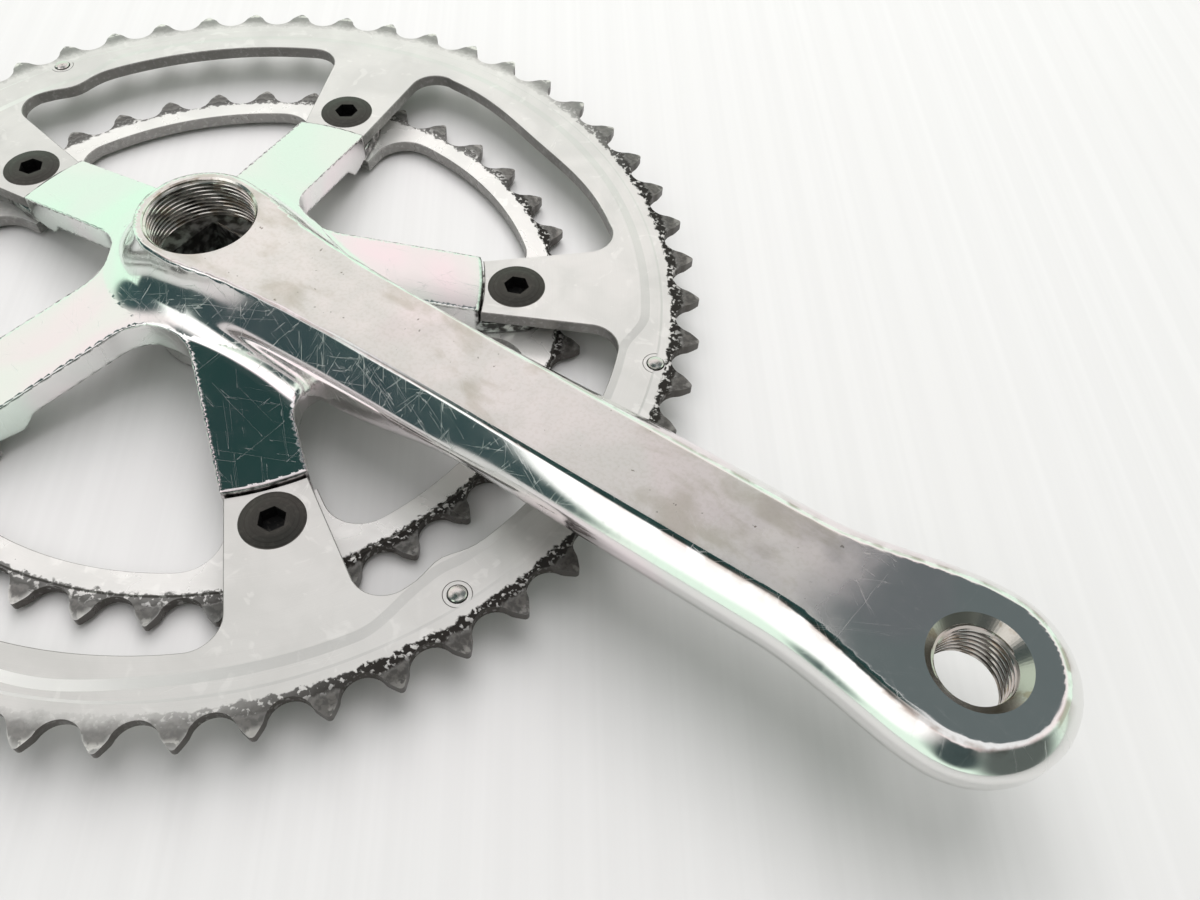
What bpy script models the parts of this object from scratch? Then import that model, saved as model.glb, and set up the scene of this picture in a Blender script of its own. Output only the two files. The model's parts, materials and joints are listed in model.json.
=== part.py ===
"""Drive-side bicycle crankset: forged arm with a five-arm spider, two chainrings and their fasteners.

Every dimension is in millimetres and every angle in degrees; the helpers scale to metres.
+Z runs along the bottom-bracket spindle, outboard. +X runs along the arm to the pedal hole.
The origin is on the spindle axis, at the back face of the hub boss.
"""

import math

import bmesh
import bpy

MM = 0.001
FULL_TURN = 2.0 * math.pi

# Standards that the crankset is built to
CHAIN_PITCH = 12.7
BOLT_CIRCLE_RADIUS = 65.0
BOLT_COUNT = 5
ARM_LENGTH = 172.5
SQUARE_TAPER_MOUTH = 13.4
SQUARE_TAPER_TOP = 12.4
EXTRACTOR_RADIUS = 11.2
PEDAL_THREAD_RADIUS = 6.9
GAP = 0.3

# Levels along the spindle
HUB_BACK_Z = 0.0
HUB_FRONT_Z = 30.5
EYE_FRONT_Z = 32.1
EYE_BACK_Z = 19.6
INNER_RING_Z = (0.7, 3.7)
TONGUE_Z = (4.0, 7.0)
OUTER_RING_Z = (7.3, 10.3)
INNER_TOOTH_Z = (1.3, 3.3)
OUTER_TOOTH_Z = (8.0, 10.1)
EXTRACTOR_FLOOR_Z = 20.5

# Spider: the outer face is dished, highest at the hub
SPIDER_STEP_RADIUS = 57.4
SPIDER_STEP_Z = 11.3
SPIDER_DISH_SLOPE = 0.225
SPIDER_THICKNESS = 6.3
SPIDER_ARM_HALF_WIDTH = 8.4
SPIDER_LUG_RADIUS = 8.0
SPIDER_CROTCH_FILLET = 11.0
SPIDER_LUG_START = 51.0
SPIDER_ARCH_START = 47.0
WEB_EDGE_X = 38.0
WEB_CORNER_FILLET = 3.5
SPIDER_CORE_RADIUS = 16.0
BOSS_RADIUS = 17.0
BOSS_CHAMFER = 0.6

# Arm: plan of the flat outer face, then the flanks below it
HUB_FACE_RADIUS = 13.3
HUB_FLARE = 7.4
HUB_FLARE_DEPTH = 11.2
HUB_SHOULDER_END_X = 10.0
HUB_SHOULDER_CURVE = 0.011
HUB_TAPER = 3.8
HUB_TAPER_LENGTH = 15.0
WAIST_HALF_WIDTH = 8.4
FACE_CLIMB_X = (17.0, 153.0)
EYE_FACE_RADIUS = 13.8
EYE_WIDENING_START_X = 140.0
FLANK_WIDTH = 5.0
FLANK_DEPTH = 6.0
FLANK_TUCK = 5.2
EYE_FLANK_WIDTH = 3.9
EYE_FLANK_DEPTH = 4.6
EYE_FLANK_X = (140.0, 165.0)
HUB_FLARE_X = (6.0, 34.0)
WEB_UNDERSIDE_Z = 11.0
FREE_UNDERSIDE_Z = 18.7
UNDERSIDE_RISE_X = (44.0, 80.0)
EYE_UNDERSIDE_X = (130.0, 160.0)
STATION_X = (4, 8, 12, 17, 23, 30, 38, 44, 50, 56, 62, 68, 75, 85, 100, 118, 134, 141, 147, 153, 159, 166)
ROUND_END_STEPS = 8
FLANK_STEPS = 4

# Chainrings: teeth, tip height over the pitch circle, and outline of the inside edge
OUTER_TEETH = 52
INNER_TEETH = 39
TIP_OVER_PITCH = 1.2
ROLLER_SEAT_RADIUS = 4.05
ROLLER_SEAT_HALF_ANGLE = 62.0
TOOTH_TIP_HALF_WIDTH = 0.9
SEAT_POINTS = 5
RIM_SEGMENTS = 72
OUTER_RIM_START = 99.6
INNER_RIM_START = 74.2
OUTER_INSIDE_RADIUS = 89.3
OUTER_TAB_END = 57.8
OUTER_TAB_HALF_ANGLE = 8.0
OUTER_TAB_FILLET = 6.5
INNER_INSIDE_RADIUS = 69.4
INNER_TAB_END = 56.5
INNER_TAB_HALF_ANGLE = 9.2
INNER_TAB_FILLET = 8.0
# Places where the outer ring's inside edge swells: angle, height, half width in degrees
OUTER_SWELLINGS = ((-17.5, 1.9, 3.0), (161.7, 2.4, 3.5), (73.0, 3.1, 14.0))

# Fasteners
FASTENER_SEGMENTS = 20
NUT_SLOT_WIDTH = 2.0
NUT_SLOT_DEPTH = 0.5
SLEEVE_HOLE_RADIUS = 5.2
BOLT_HEAD_RADIUS = 6.6
HEAD_RECESS_RADIUS = 6.9
HEAD_SEAT_Z = 9.2
HEX_KEY = 5.0
HEX_DEPTH = 3.2
BOLT_TOP_Z = 10.75
BOLT_HEAD_BOTTOM_Z = 9.5
BOLT_END_Z = 3.4
BOLT_DOME_RADIUS = 4.2
BOLT_END_CHAMFER = 0.5
BOLT_SHANK_RADIUS = 3.8
NUT_SEAT_Z = 2.1
NUT_FLANGE_Z = (0.75, 1.8)
NUT_SLEEVE_TOP_Z = 9.1
NUT_SLEEVE_RADIUS = 4.9
NUT_BORE_RADIUS = 4.1
NUT_FLANGE_RADIUS = 6.6
# Each shift pin's angle and its distance from the axis
SHIFT_PINS = ((-18.3, 95.5), (22.9, 97.8), (161.3, 97.7), (203.0, 97.7))
SHIFT_PIN_HEAD_RADIUS = 2.9
SHIFT_PIN_HEAD_BACK_Z = 5.4
DROP_PIN_RADIUS_FROM_AXIS = 93.5
DROP_PIN_TOP_Z = 17.2
DROP_PIN_RADIUS = 2.5
DROP_PIN_COLLAR_RADIUS = 3.0
DROP_PIN_COLLAR_TOP_Z = 12.0
PIN_HOLE_RADIUS = 2.1
PIN_SEGMENTS = 16
HOLE_SEGMENTS = 20
PIN_HOLE_SEGMENTS = 12

# Shading: edges sharper than this stay crisp
SHARP_EDGE_ANGLE = 32.0


def polar(radius, degrees):
    angle = math.radians(degrees)
    return (radius * math.cos(angle), radius * math.sin(angle))


def smooth_step(low, high, value):
    t = min(max((value - low) / (high - low), 0.0), 1.0)
    return t * t * (3.0 - 2.0 * t)


def arc_points(centre, radius, start, end, count):
    """Points on an arc, both ends included, from the start angle to the end angle."""
    points = []
    for i in range(count):
        x, y = polar(radius, start + (end - start) * i / (count - 1))
        points.append((centre[0] + x, centre[1] + y))
    return points


def bolt_angle(index):
    """The bolt circle's places, counted from the one opposite the arm."""
    return 180.0 - index * 360.0 / BOLT_COUNT


# ---------------------------------------------------------------- scene and mesh helpers


def clear_scene():
    for obj in list(bpy.data.objects):
        bpy.data.objects.remove(obj, do_unlink=True)


def new_collection(name):
    collection = bpy.data.collections.new(name)
    bpy.context.scene.collection.children.link(collection)
    return collection


def new_material(name, color, metallic, roughness):
    material = bpy.data.materials.new(name)
    material.use_nodes = True
    shader = material.node_tree.nodes["Principled BSDF"]
    shader.inputs["Base Color"].default_value = (*color, 1.0)
    shader.inputs["Metallic"].default_value = metallic
    shader.inputs["Roughness"].default_value = roughness
    return material


def place(obj, collection):
    collection.objects.link(obj)
    return obj


def cutter(obj):
    """Keeps a helper out of renders and shows it as a wire."""
    obj.hide_render = True
    obj.display_type = "WIRE"
    return place(obj, CUTTERS)


def flat_solid(name, outlines, z_low, z_high):
    """A mesh object between two levels from closed flat outlines; inner ones are holes."""
    curve = bpy.data.curves.new(name + "_outline", "CURVE")
    curve.dimensions = "2D"
    curve.fill_mode = "BOTH"
    curve.extrude = 0.5 * (z_high - z_low) * MM
    for outline in outlines:
        spline = curve.splines.new("POLY")
        spline.points.add(len(outline) - 1)
        for point, (x, y) in zip(spline.points, outline):
            point.co = (x * MM, y * MM, 0.0, 1.0)
        spline.use_cyclic_u = True
    guide = place(bpy.data.objects.new(name + "_outline", curve), CUTTERS)
    guide.location.z = 0.5 * (z_low + z_high) * MM
    bpy.context.view_layer.update()
    evaluated = guide.evaluated_get(bpy.context.evaluated_depsgraph_get())
    mesh = bpy.data.meshes.new_from_object(evaluated)
    mesh.transform(guide.matrix_world)
    bpy.data.objects.remove(guide, do_unlink=True)
    shape = bmesh.new()
    shape.from_mesh(mesh)
    bmesh.ops.remove_doubles(shape, verts=shape.verts, dist=1e-6)
    bmesh.ops.recalc_face_normals(shape, faces=shape.faces)
    shape.to_mesh(mesh)
    shape.free()
    return bpy.data.objects.new(name, mesh)


def turned_solid(name, profile, segments, closed=False):
    """A Screw of a (radius, z) profile that runs top to bottom on its outer side."""
    mesh = bpy.data.meshes.new(name)
    edges = [(i, i + 1) for i in range(len(profile) - 1)]
    if closed:
        edges.append((len(profile) - 1, 0))
    mesh.from_pydata([(r * MM, 0.0, z * MM) for r, z in profile], edges, [])
    obj = bpy.data.objects.new(name, mesh)
    screw = obj.modifiers.new("turn", "SCREW")
    screw.axis = "Z"
    screw.angle = FULL_TURN
    screw.steps = segments
    screw.render_steps = segments
    screw.use_merge_vertices = True
    screw.merge_threshold = 1e-6
    return obj


def prism(name, sides, flat_width, z_low, z_high, top_width=None, turn=0.0):
    """A regular prism, or a taper where the top is another width across its flats."""
    corner = 0.5 / math.cos(math.pi / sides)
    mesh = bpy.data.meshes.new(name)
    shape = bmesh.new()
    bmesh.ops.create_cone(
        shape,
        cap_ends=True,
        segments=sides,
        radius1=flat_width * corner * MM,
        radius2=(top_width or flat_width) * corner * MM,
        depth=(z_high - z_low) * MM,
    )
    shape.to_mesh(mesh)
    shape.free()
    obj = bpy.data.objects.new(name, mesh)
    obj.location.z = 0.5 * (z_low + z_high) * MM
    obj.rotation_euler.z = math.radians(turn)
    return obj


def box(name, length, width, z_low, z_high):
    mesh = bpy.data.meshes.new(name)
    shape = bmesh.new()
    bmesh.ops.create_cube(shape, size=1.0)
    bmesh.ops.scale(shape, verts=shape.verts, vec=(length * MM, width * MM, (z_high - z_low) * MM))
    shape.to_mesh(mesh)
    shape.free()
    obj = bpy.data.objects.new(name, mesh)
    obj.location.z = 0.5 * (z_low + z_high) * MM
    return obj


def on_bolt_circle(obj, index):
    x, y = polar(BOLT_CIRCLE_RADIUS, bolt_angle(index))
    obj.location.x = x * MM
    obj.location.y = y * MM


def boolean(obj, other, operation):
    modifier = obj.modifiers.new(operation.lower() + "_" + other.name, "BOOLEAN")
    modifier.operation = operation
    modifier.object = other


def finish(obj, material):
    """Makes the modifiers' result the object's own mesh, shaded smooth except at its real edges."""
    bpy.context.view_layer.update()
    evaluated = obj.evaluated_get(bpy.context.evaluated_depsgraph_get())
    mesh = bpy.data.meshes.new_from_object(evaluated)
    obj.modifiers.clear()
    obj.data = mesh
    mesh.shade_smooth()
    mesh.set_sharp_from_angle(angle=math.radians(SHARP_EDGE_ANGLE))
    mesh.materials.clear()
    mesh.materials.append(material)


# ---------------------------------------------------------------- chainrings


def tooth_outline(teeth):
    """One closed outline of roller seats and teeth, with a tooth centred at 0 degrees."""
    pitch_radius = 0.5 * CHAIN_PITCH / math.sin(math.pi / teeth)
    tip_radius = pitch_radius + TIP_OVER_PITCH
    tip_half_angle = math.degrees(TOOTH_TIP_HALF_WIDTH / tip_radius)
    step = 360.0 / teeth
    outline = []
    for tooth in range(teeth):
        seat_angle = (tooth - 0.5) * step
        centre = polar(pitch_radius, seat_angle)
        start = seat_angle + 180.0 - ROLLER_SEAT_HALF_ANGLE
        end = seat_angle + 180.0 + ROLLER_SEAT_HALF_ANGLE
        outline += reversed(arc_points(centre, ROLLER_SEAT_RADIUS, start, end, SEAT_POINTS))
        outline.append(polar(tip_radius, tooth * step - tip_half_angle))
        outline.append(polar(tip_radius, tooth * step + tip_half_angle))
    return outline


def swelling(angle, swellings):
    height = 0.0
    for centre, amount, half_width in swellings:
        away = (angle - centre + 180.0) % 360.0 - 180.0
        height += amount * math.exp(-((away / half_width) ** 2))
    return height


def inside_outline(radius, tab_end, tab_half_angle, fillet, swellings=()):
    """The ring's inside edge: five tabs that reach in to the bolt circle, joined by fillets."""
    centre_radius = radius - fillet
    lean = math.degrees(math.asin(fillet / centre_radius))
    plain_start = tab_half_angle + lean
    plain_span = 360.0 / BOLT_COUNT - 2.0 * plain_start
    outline = []
    for index in range(BOLT_COUNT):
        tab = bolt_angle(-index)
        outline += arc_points((0, 0), tab_end, tab - tab_half_angle, tab + tab_half_angle, 5)
        leave = tab + plain_start
        centre = polar(centre_radius, leave)
        outline += arc_points(centre, fillet, tab + tab_half_angle - 90.0, leave, 6)
        steps = 12
        for i in range(1, steps):
            angle = leave + plain_span * i / steps
            outline.append(polar(radius - swelling(angle, swellings), angle))
        arrive = leave + plain_span
        centre = polar(centre_radius, arrive)
        side = tab + 360.0 / BOLT_COUNT - tab_half_angle
        outline += arc_points(centre, fillet, arrive, side + 90.0, 6)
    return outline


def hole_outline(radius_from_axis, angle, radius, segments):
    centre = polar(radius_from_axis, angle)
    return arc_points(centre, radius, 0.0, 360.0 * (segments - 1) / segments, segments)


def bolt_hole_outlines():
    outlines = []
    for index in range(BOLT_COUNT):
        angle = bolt_angle(index)
        outlines.append(hole_outline(BOLT_CIRCLE_RADIUS, angle, SLEEVE_HOLE_RADIUS, HOLE_SEGMENTS))
    return outlines


def rim_cutter(name, rim_start, shoulder, side):
    """A turned cutter that thins one side of a ring from its body outwards."""
    far = shoulder + side * 6.0
    beyond = OUTER_INSIDE_RADIUS + 30.0
    profile = [(beyond, far), (beyond, shoulder), (rim_start, shoulder), (rim_start, far)]
    if side < 0:
        profile.reverse()
    return cutter(turned_solid(name, profile, RIM_SEGMENTS, closed=True))


def head_recess(name, z_low, z_high, index):
    recess = prism(name + str(index + 1), FASTENER_SEGMENTS, 2.0 * HEAD_RECESS_RADIUS, z_low, z_high)
    on_bolt_circle(recess, index)
    return cutter(recess)


def make_outer_chainring():
    z_low, z_high = OUTER_RING_Z
    outlines = [tooth_outline(OUTER_TEETH)]
    outlines.append(
        inside_outline(
            OUTER_INSIDE_RADIUS, OUTER_TAB_END, OUTER_TAB_HALF_ANGLE, OUTER_TAB_FILLET, OUTER_SWELLINGS
        )
    )
    outlines += bolt_hole_outlines()
    for angle, distance in SHIFT_PINS:
        outlines.append(hole_outline(distance, angle, PIN_HOLE_RADIUS, PIN_HOLE_SEGMENTS))
    outlines.append(hole_outline(DROP_PIN_RADIUS_FROM_AXIS, 0.0, PIN_HOLE_RADIUS, PIN_HOLE_SEGMENTS))
    ring = place(flat_solid("outer_chainring", outlines, z_low, z_high), PARTS)
    boolean(ring, rim_cutter("outer_rim_front", OUTER_RIM_START, OUTER_TOOTH_Z[1], 1), "DIFFERENCE")
    boolean(ring, rim_cutter("outer_rim_back", OUTER_RIM_START, OUTER_TOOTH_Z[0], -1), "DIFFERENCE")
    for index in range(BOLT_COUNT):
        boolean(ring, head_recess("outer_recess_", HEAD_SEAT_Z, z_high + 1.7, index), "DIFFERENCE")
    finish(ring, MATERIALS["outer_ring"])


def make_inner_chainring():
    z_low, z_high = INNER_RING_Z
    outlines = [tooth_outline(INNER_TEETH)]
    outlines.append(
        inside_outline(INNER_INSIDE_RADIUS, INNER_TAB_END, INNER_TAB_HALF_ANGLE, INNER_TAB_FILLET)
    )
    outlines += bolt_hole_outlines()
    ring = place(flat_solid("inner_chainring", outlines, z_low, z_high), PARTS)
    boolean(ring, rim_cutter("inner_rim_front", INNER_RIM_START, INNER_TOOTH_Z[1], 1), "DIFFERENCE")
    boolean(ring, rim_cutter("inner_rim_back", INNER_RIM_START, INNER_TOOTH_Z[0], -1), "DIFFERENCE")
    for index in range(BOLT_COUNT):
        boolean(ring, head_recess("inner_recess_", z_low - 1.7, NUT_SEAT_Z, index), "DIFFERENCE")
    finish(ring, MATERIALS["inner_ring"])


# ---------------------------------------------------------------- crank arm


def face_half_width(x):
    """Half width of the arm's flat outer face between the hub and the pedal eye."""
    if x < HUB_SHOULDER_END_X:
        return HUB_FACE_RADIUS - HUB_SHOULDER_CURVE * x * x
    taper = WAIST_HALF_WIDTH + HUB_TAPER * math.exp((HUB_SHOULDER_END_X - x) / HUB_TAPER_LENGTH)
    return taper + (EYE_FACE_RADIUS - taper) * smooth_step(EYE_WIDENING_START_X, ARM_LENGTH, x)


def arm_bottom_z(x):
    """The underside: deep where it joins the spider's web, shallow along the free arm."""
    rise = (FREE_UNDERSIDE_Z - WEB_UNDERSIDE_Z) * smooth_step(*UNDERSIDE_RISE_X, x)
    eye_rise = (EYE_BACK_Z - FREE_UNDERSIDE_Z) * smooth_step(*EYE_UNDERSIDE_X, x)
    return WEB_UNDERSIDE_Z + rise + eye_rise


def face_stations():
    """Half of the outer face's outline: (x, y, outward x, outward y), hub end first."""
    stations = []
    for i in range(ROUND_END_STEPS + 1):
        x, y = polar(1.0, 180.0 - 90.0 * i / ROUND_END_STEPS)
        stations.append((HUB_FACE_RADIUS * x, HUB_FACE_RADIUS * y, x, y))
    for x in STATION_X:
        slope = face_half_width(x + 0.5) - face_half_width(x - 0.5)
        length = math.hypot(slope, 1.0)
        stations.append((x, face_half_width(x), -slope / length, 1.0 / length))
    for i in range(ROUND_END_STEPS + 1):
        x, y = polar(1.0, 90.0 - 90.0 * i / ROUND_END_STEPS)
        stations.append((ARM_LENGTH + EYE_FACE_RADIUS * x, EYE_FACE_RADIUS * y, x, y))
    return stations


def flank_profile(x):
    """(outward offset, z) down the flank at one station, from the face's edge to the underside."""
    climb = min(max((x - FACE_CLIMB_X[0]) / (FACE_CLIMB_X[1] - FACE_CLIMB_X[0]), 0.0), 1.0)
    front = HUB_FRONT_Z + (EYE_FRONT_Z - HUB_FRONT_Z) * climb
    hub = 1.0 - smooth_step(*HUB_FLARE_X, x)
    eye = smooth_step(*EYE_FLANK_X, x)
    width = FLANK_WIDTH + (EYE_FLANK_WIDTH - FLANK_WIDTH) * eye
    depth = FLANK_DEPTH + (EYE_FLANK_DEPTH - FLANK_DEPTH) * eye
    bottom = arm_bottom_z(x)
    profile = []
    for i in range(FLANK_STEPS + 1):
        t = i / FLANK_STEPS
        arm_offset = width * math.sin(0.5 * math.pi * t) ** 0.9
        hub_offset = HUB_FLARE * (0.35 * t + 0.65 * t**2.4)
        offset = arm_offset + (hub_offset - arm_offset) * hub
        drop = (depth + (HUB_FLARE_DEPTH - depth) * hub) * t
        profile.append((offset, front - drop))
    widest, level = profile[-1]
    for i in range(1, FLANK_STEPS + 1):
        turn = 0.5 * math.pi * i / FLANK_STEPS
        tuck = (1.0 - math.cos(turn)) * FLANK_TUCK * (1.0 - hub)
        profile.append((widest - tuck, level + (bottom - level) * math.sin(turn)))
    return profile


def arm_body():
    """A loft down the flanks: each station's profile on both sides of the arm, then the two faces."""
    shape = bmesh.new()
    right = []
    left = []
    for x, y, out_x, out_y in face_stations():
        column = []
        mirrored = []
        for offset, z in flank_profile(x):
            px = (x + out_x * offset) * MM
            py = (y + out_y * offset) * MM
            column.append(shape.verts.new((px, py, z * MM)))
            on_axis = abs(out_y) < 1e-6
            mirrored.append(column[-1] if on_axis else shape.verts.new((px, -py, z * MM)))
        right.append(column)
        left.append(mirrored)
    levels = len(right[0])
    for i in range(len(right) - 1):
        for k in range(levels - 1):
            shape.faces.new((right[i][k], right[i + 1][k], right[i + 1][k + 1], right[i][k + 1]))
            shape.faces.new((left[i][k], left[i][k + 1], left[i + 1][k + 1], left[i + 1][k]))
        for k in (0, levels - 1):
            corners = [right[i][k], right[i + 1][k], left[i + 1][k], left[i][k]]
            unique = list(dict.fromkeys(corners))
            shape.faces.new(unique)
    bmesh.ops.recalc_face_normals(shape, faces=shape.faces)
    mesh = bpy.data.meshes.new("crank_arm")
    shape.to_mesh(mesh)
    shape.free()
    return bpy.data.objects.new("crank_arm", mesh)


def spider_outline():
    """Five arms with round lugs, deep fillets between them and a web under the crank arm."""
    half_step = 180.0 / BOLT_COUNT
    fillet_centre = (SPIDER_ARM_HALF_WIDTH + SPIDER_CROTCH_FILLET) / math.sin(math.radians(half_step))
    reach = 90.0 - half_step
    outline = []
    for index in range(BOLT_COUNT):
        angle = bolt_angle(-index)
        lug = polar(BOLT_CIRCLE_RADIUS, angle)
        outline.append(offset_point(angle, BOLT_CIRCLE_RADIUS - 3.0, -SPIDER_ARM_HALF_WIDTH))
        outline += arc_points(lug, SPIDER_LUG_RADIUS, angle - 80.0, angle + 80.0, 11)
        outline.append(offset_point(angle, BOLT_CIRCLE_RADIUS - 3.0, SPIDER_ARM_HALF_WIDTH))
        bisector = angle + half_step
        if abs((bisector + 180.0) % 360.0 - 180.0) < 1.0:
            outline += web_edge()
            continue
        centre = polar(fillet_centre, bisector)
        start = bisector + 180.0 + reach
        end = bisector + 180.0 - reach
        outline += arc_points(centre, SPIDER_CROTCH_FILLET, start, end, 9)
    return outline


def offset_point(angle, along, across):
    """A point in an arm's own directions: along its centre line and to the left of it."""
    x, y = polar(along, angle)
    side_x, side_y = polar(across, angle + 90.0)
    return (x + side_x, y + side_y)


def web_edge():
    """The web's outer edge under the crank arm, from the arm at -36 degrees to the one at 36."""
    lean = math.radians(180.0 / BOLT_COUNT)
    along = (WEB_EDGE_X - SPIDER_ARM_HALF_WIDTH * math.sin(lean)) / math.cos(lean)
    corner_y = along * math.sin(lean) - SPIDER_ARM_HALF_WIDTH * math.cos(lean)
    trim = WEB_CORNER_FILLET * 0.5
    edge = []
    edge.append((WEB_EDGE_X + trim, -corner_y - trim * math.tan(lean)))
    edge.append((WEB_EDGE_X, -corner_y + trim))
    edge.append((WEB_EDGE_X, corner_y - trim))
    edge.append((WEB_EDGE_X + trim, corner_y + trim * math.tan(lean)))
    return edge


def dish_z(radius):
    return SPIDER_STEP_Z + SPIDER_DISH_SLOPE * (SPIDER_STEP_RADIUS - radius)


def spider_blank():
    """The turned blank that the five arms are cut from, with the hub boss on its back."""
    top = dish_z(SPIDER_CORE_RADIUS)
    tongue_end = BOLT_CIRCLE_RADIUS + SPIDER_LUG_RADIUS + 3.0
    profile = [(0.0, top), (SPIDER_CORE_RADIUS, top), (SPIDER_STEP_RADIUS, SPIDER_STEP_Z)]
    profile += [(SPIDER_STEP_RADIUS, TONGUE_Z[1]), (tongue_end, TONGUE_Z[1])]
    profile += [(tongue_end, TONGUE_Z[0]), (SPIDER_LUG_START, TONGUE_Z[0])]
    profile += [(SPIDER_LUG_START - 1.4, TONGUE_Z[0] + 0.9)]
    profile += [(SPIDER_ARCH_START, dish_z(SPIDER_ARCH_START) - SPIDER_THICKNESS)]
    profile += [(23.0, dish_z(23.0) - SPIDER_THICKNESS), (BOSS_RADIUS + 1.6, 10.0)]
    profile += [(BOSS_RADIUS, 7.0), (BOSS_RADIUS, HUB_BACK_Z + BOSS_CHAMFER)]
    profile += [(BOSS_RADIUS - BOSS_CHAMFER, HUB_BACK_Z), (0.0, HUB_BACK_Z)]
    return cutter(turned_solid("spider_blank", profile, RIM_SEGMENTS))


def make_crank_arm():
    arm = place(arm_body(), PARTS)
    spider = cutter(flat_solid("spider_plan", [spider_outline()], -2.0, 24.0))
    boolean(spider, spider_blank(), "INTERSECT")
    boolean(arm, spider, "UNION")
    extractor = prism("extractor_bore", 48, 2.0 * EXTRACTOR_RADIUS, EXTRACTOR_FLOOR_Z, 40.0)
    taper = prism("spindle_taper", 4, SQUARE_TAPER_MOUTH, -1.0, 24.0, SQUARE_TAPER_TOP, 45.0)
    pedal = prism("pedal_bore", 36, 2.0 * PEDAL_THREAD_RADIUS, 10.0, 40.0)
    pedal.location.x = ARM_LENGTH * MM
    for tool in (extractor, taper, pedal):
        boolean(arm, cutter(tool), "DIFFERENCE")
    for index in range(BOLT_COUNT):
        hole = prism(
            "lug_hole_" + str(index + 1), HOLE_SEGMENTS, 2.0 * SLEEVE_HOLE_RADIUS, HUB_BACK_Z, HEAD_SEAT_Z
        )
        on_bolt_circle(hole, index)
        boolean(arm, cutter(hole), "DIFFERENCE")
    finish(arm, MATERIALS["arm"])


# ---------------------------------------------------------------- fasteners


def make_bolts():
    """Cap screws with hexagon sockets; each object's origin is on its screw axis."""
    top = BOLT_TOP_Z
    end = BOLT_END_Z
    profile = [(0.0, top), (BOLT_DOME_RADIUS, top), (BOLT_HEAD_RADIUS - 0.5, top - 0.35)]
    profile += [(BOLT_HEAD_RADIUS, top - 0.75), (BOLT_HEAD_RADIUS, BOLT_HEAD_BOTTOM_Z)]
    profile += [(BOLT_SHANK_RADIUS, BOLT_HEAD_BOTTOM_Z), (BOLT_SHANK_RADIUS, end + BOLT_END_CHAMFER)]
    profile += [(BOLT_SHANK_RADIUS - BOLT_END_CHAMFER, end), (0.0, end)]
    for index in range(BOLT_COUNT):
        number = str(index + 1)
        bolt = place(turned_solid("chainring_bolt_" + number, profile, FASTENER_SEGMENTS), PARTS)
        socket = cutter(prism("hex_socket_" + number, 6, HEX_KEY, top - HEX_DEPTH, top + 2.0))
        for obj in (bolt, socket):
            on_bolt_circle(obj, index)
        boolean(bolt, socket, "DIFFERENCE")
        finish(bolt, MATERIALS["bolt"])


def make_nuts():
    """Sleeve nuts with a slotted flange, one behind each bolt."""
    back, seat = NUT_FLANGE_Z
    profile = [(NUT_BORE_RADIUS, NUT_SLEEVE_TOP_Z), (NUT_SLEEVE_RADIUS, NUT_SLEEVE_TOP_Z)]
    profile += [(NUT_SLEEVE_RADIUS, seat), (NUT_FLANGE_RADIUS, seat)]
    profile += [(NUT_FLANGE_RADIUS, back), (NUT_BORE_RADIUS, back)]
    for index in range(BOLT_COUNT):
        number = str(index + 1)
        nut = turned_solid("chainring_nut_" + number, profile, FASTENER_SEGMENTS, closed=True)
        slot = box("nut_slot_" + number, 20.0, NUT_SLOT_WIDTH, back - 1.0, back + NUT_SLOT_DEPTH)
        for obj in (nut, slot):
            on_bolt_circle(obj, index)
            obj.rotation_euler.z = math.radians(bolt_angle(index) + 90.0)
        boolean(place(nut, PARTS), cutter(slot), "DIFFERENCE")
        finish(nut, MATERIALS["nut"])


def make_shift_pins():
    """Steel shift pins riveted through the outer ring, heads on its inboard side."""
    z_low, z_high = OUTER_RING_Z
    stem = PIN_HOLE_RADIUS - GAP
    head = SHIFT_PIN_HEAD_RADIUS
    back = SHIFT_PIN_HEAD_BACK_Z
    profile = [(0.0, z_high + 0.1), (stem, z_high - 0.1), (stem, z_low - GAP), (head, z_low - GAP)]
    profile += [(head, back + 0.4), (head - 0.6, back), (0.0, back)]
    for index, (angle, distance) in enumerate(SHIFT_PINS):
        pin = place(turned_solid("shift_pin_" + str(index + 1), profile, PIN_SEGMENTS), PARTS)
        x, y = polar(distance, angle)
        pin.location.x = x * MM
        pin.location.y = y * MM
        finish(pin, MATERIALS["pin"])


def make_drop_pin():
    """The pin that keeps a dropped chain from wedging between the outer ring and the arm."""
    z_low, z_high = OUTER_RING_Z
    stem = PIN_HOLE_RADIUS - GAP
    top = DROP_PIN_TOP_Z
    collar = DROP_PIN_COLLAR_RADIUS
    profile = [(0.0, top), (DROP_PIN_RADIUS - 0.5, top), (DROP_PIN_RADIUS, top - 0.5)]
    profile += [(DROP_PIN_RADIUS, DROP_PIN_COLLAR_TOP_Z), (collar, DROP_PIN_COLLAR_TOP_Z - 0.4)]
    profile += [(collar, z_high + GAP), (stem, z_high + GAP), (stem, z_low - 0.2), (0.0, z_low - 0.2)]
    pin = place(turned_solid("chain_drop_pin", profile, PIN_SEGMENTS), PARTS)
    pin.location.x = DROP_PIN_RADIUS_FROM_AXIS * MM
    finish(pin, MATERIALS["pin"])


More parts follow.
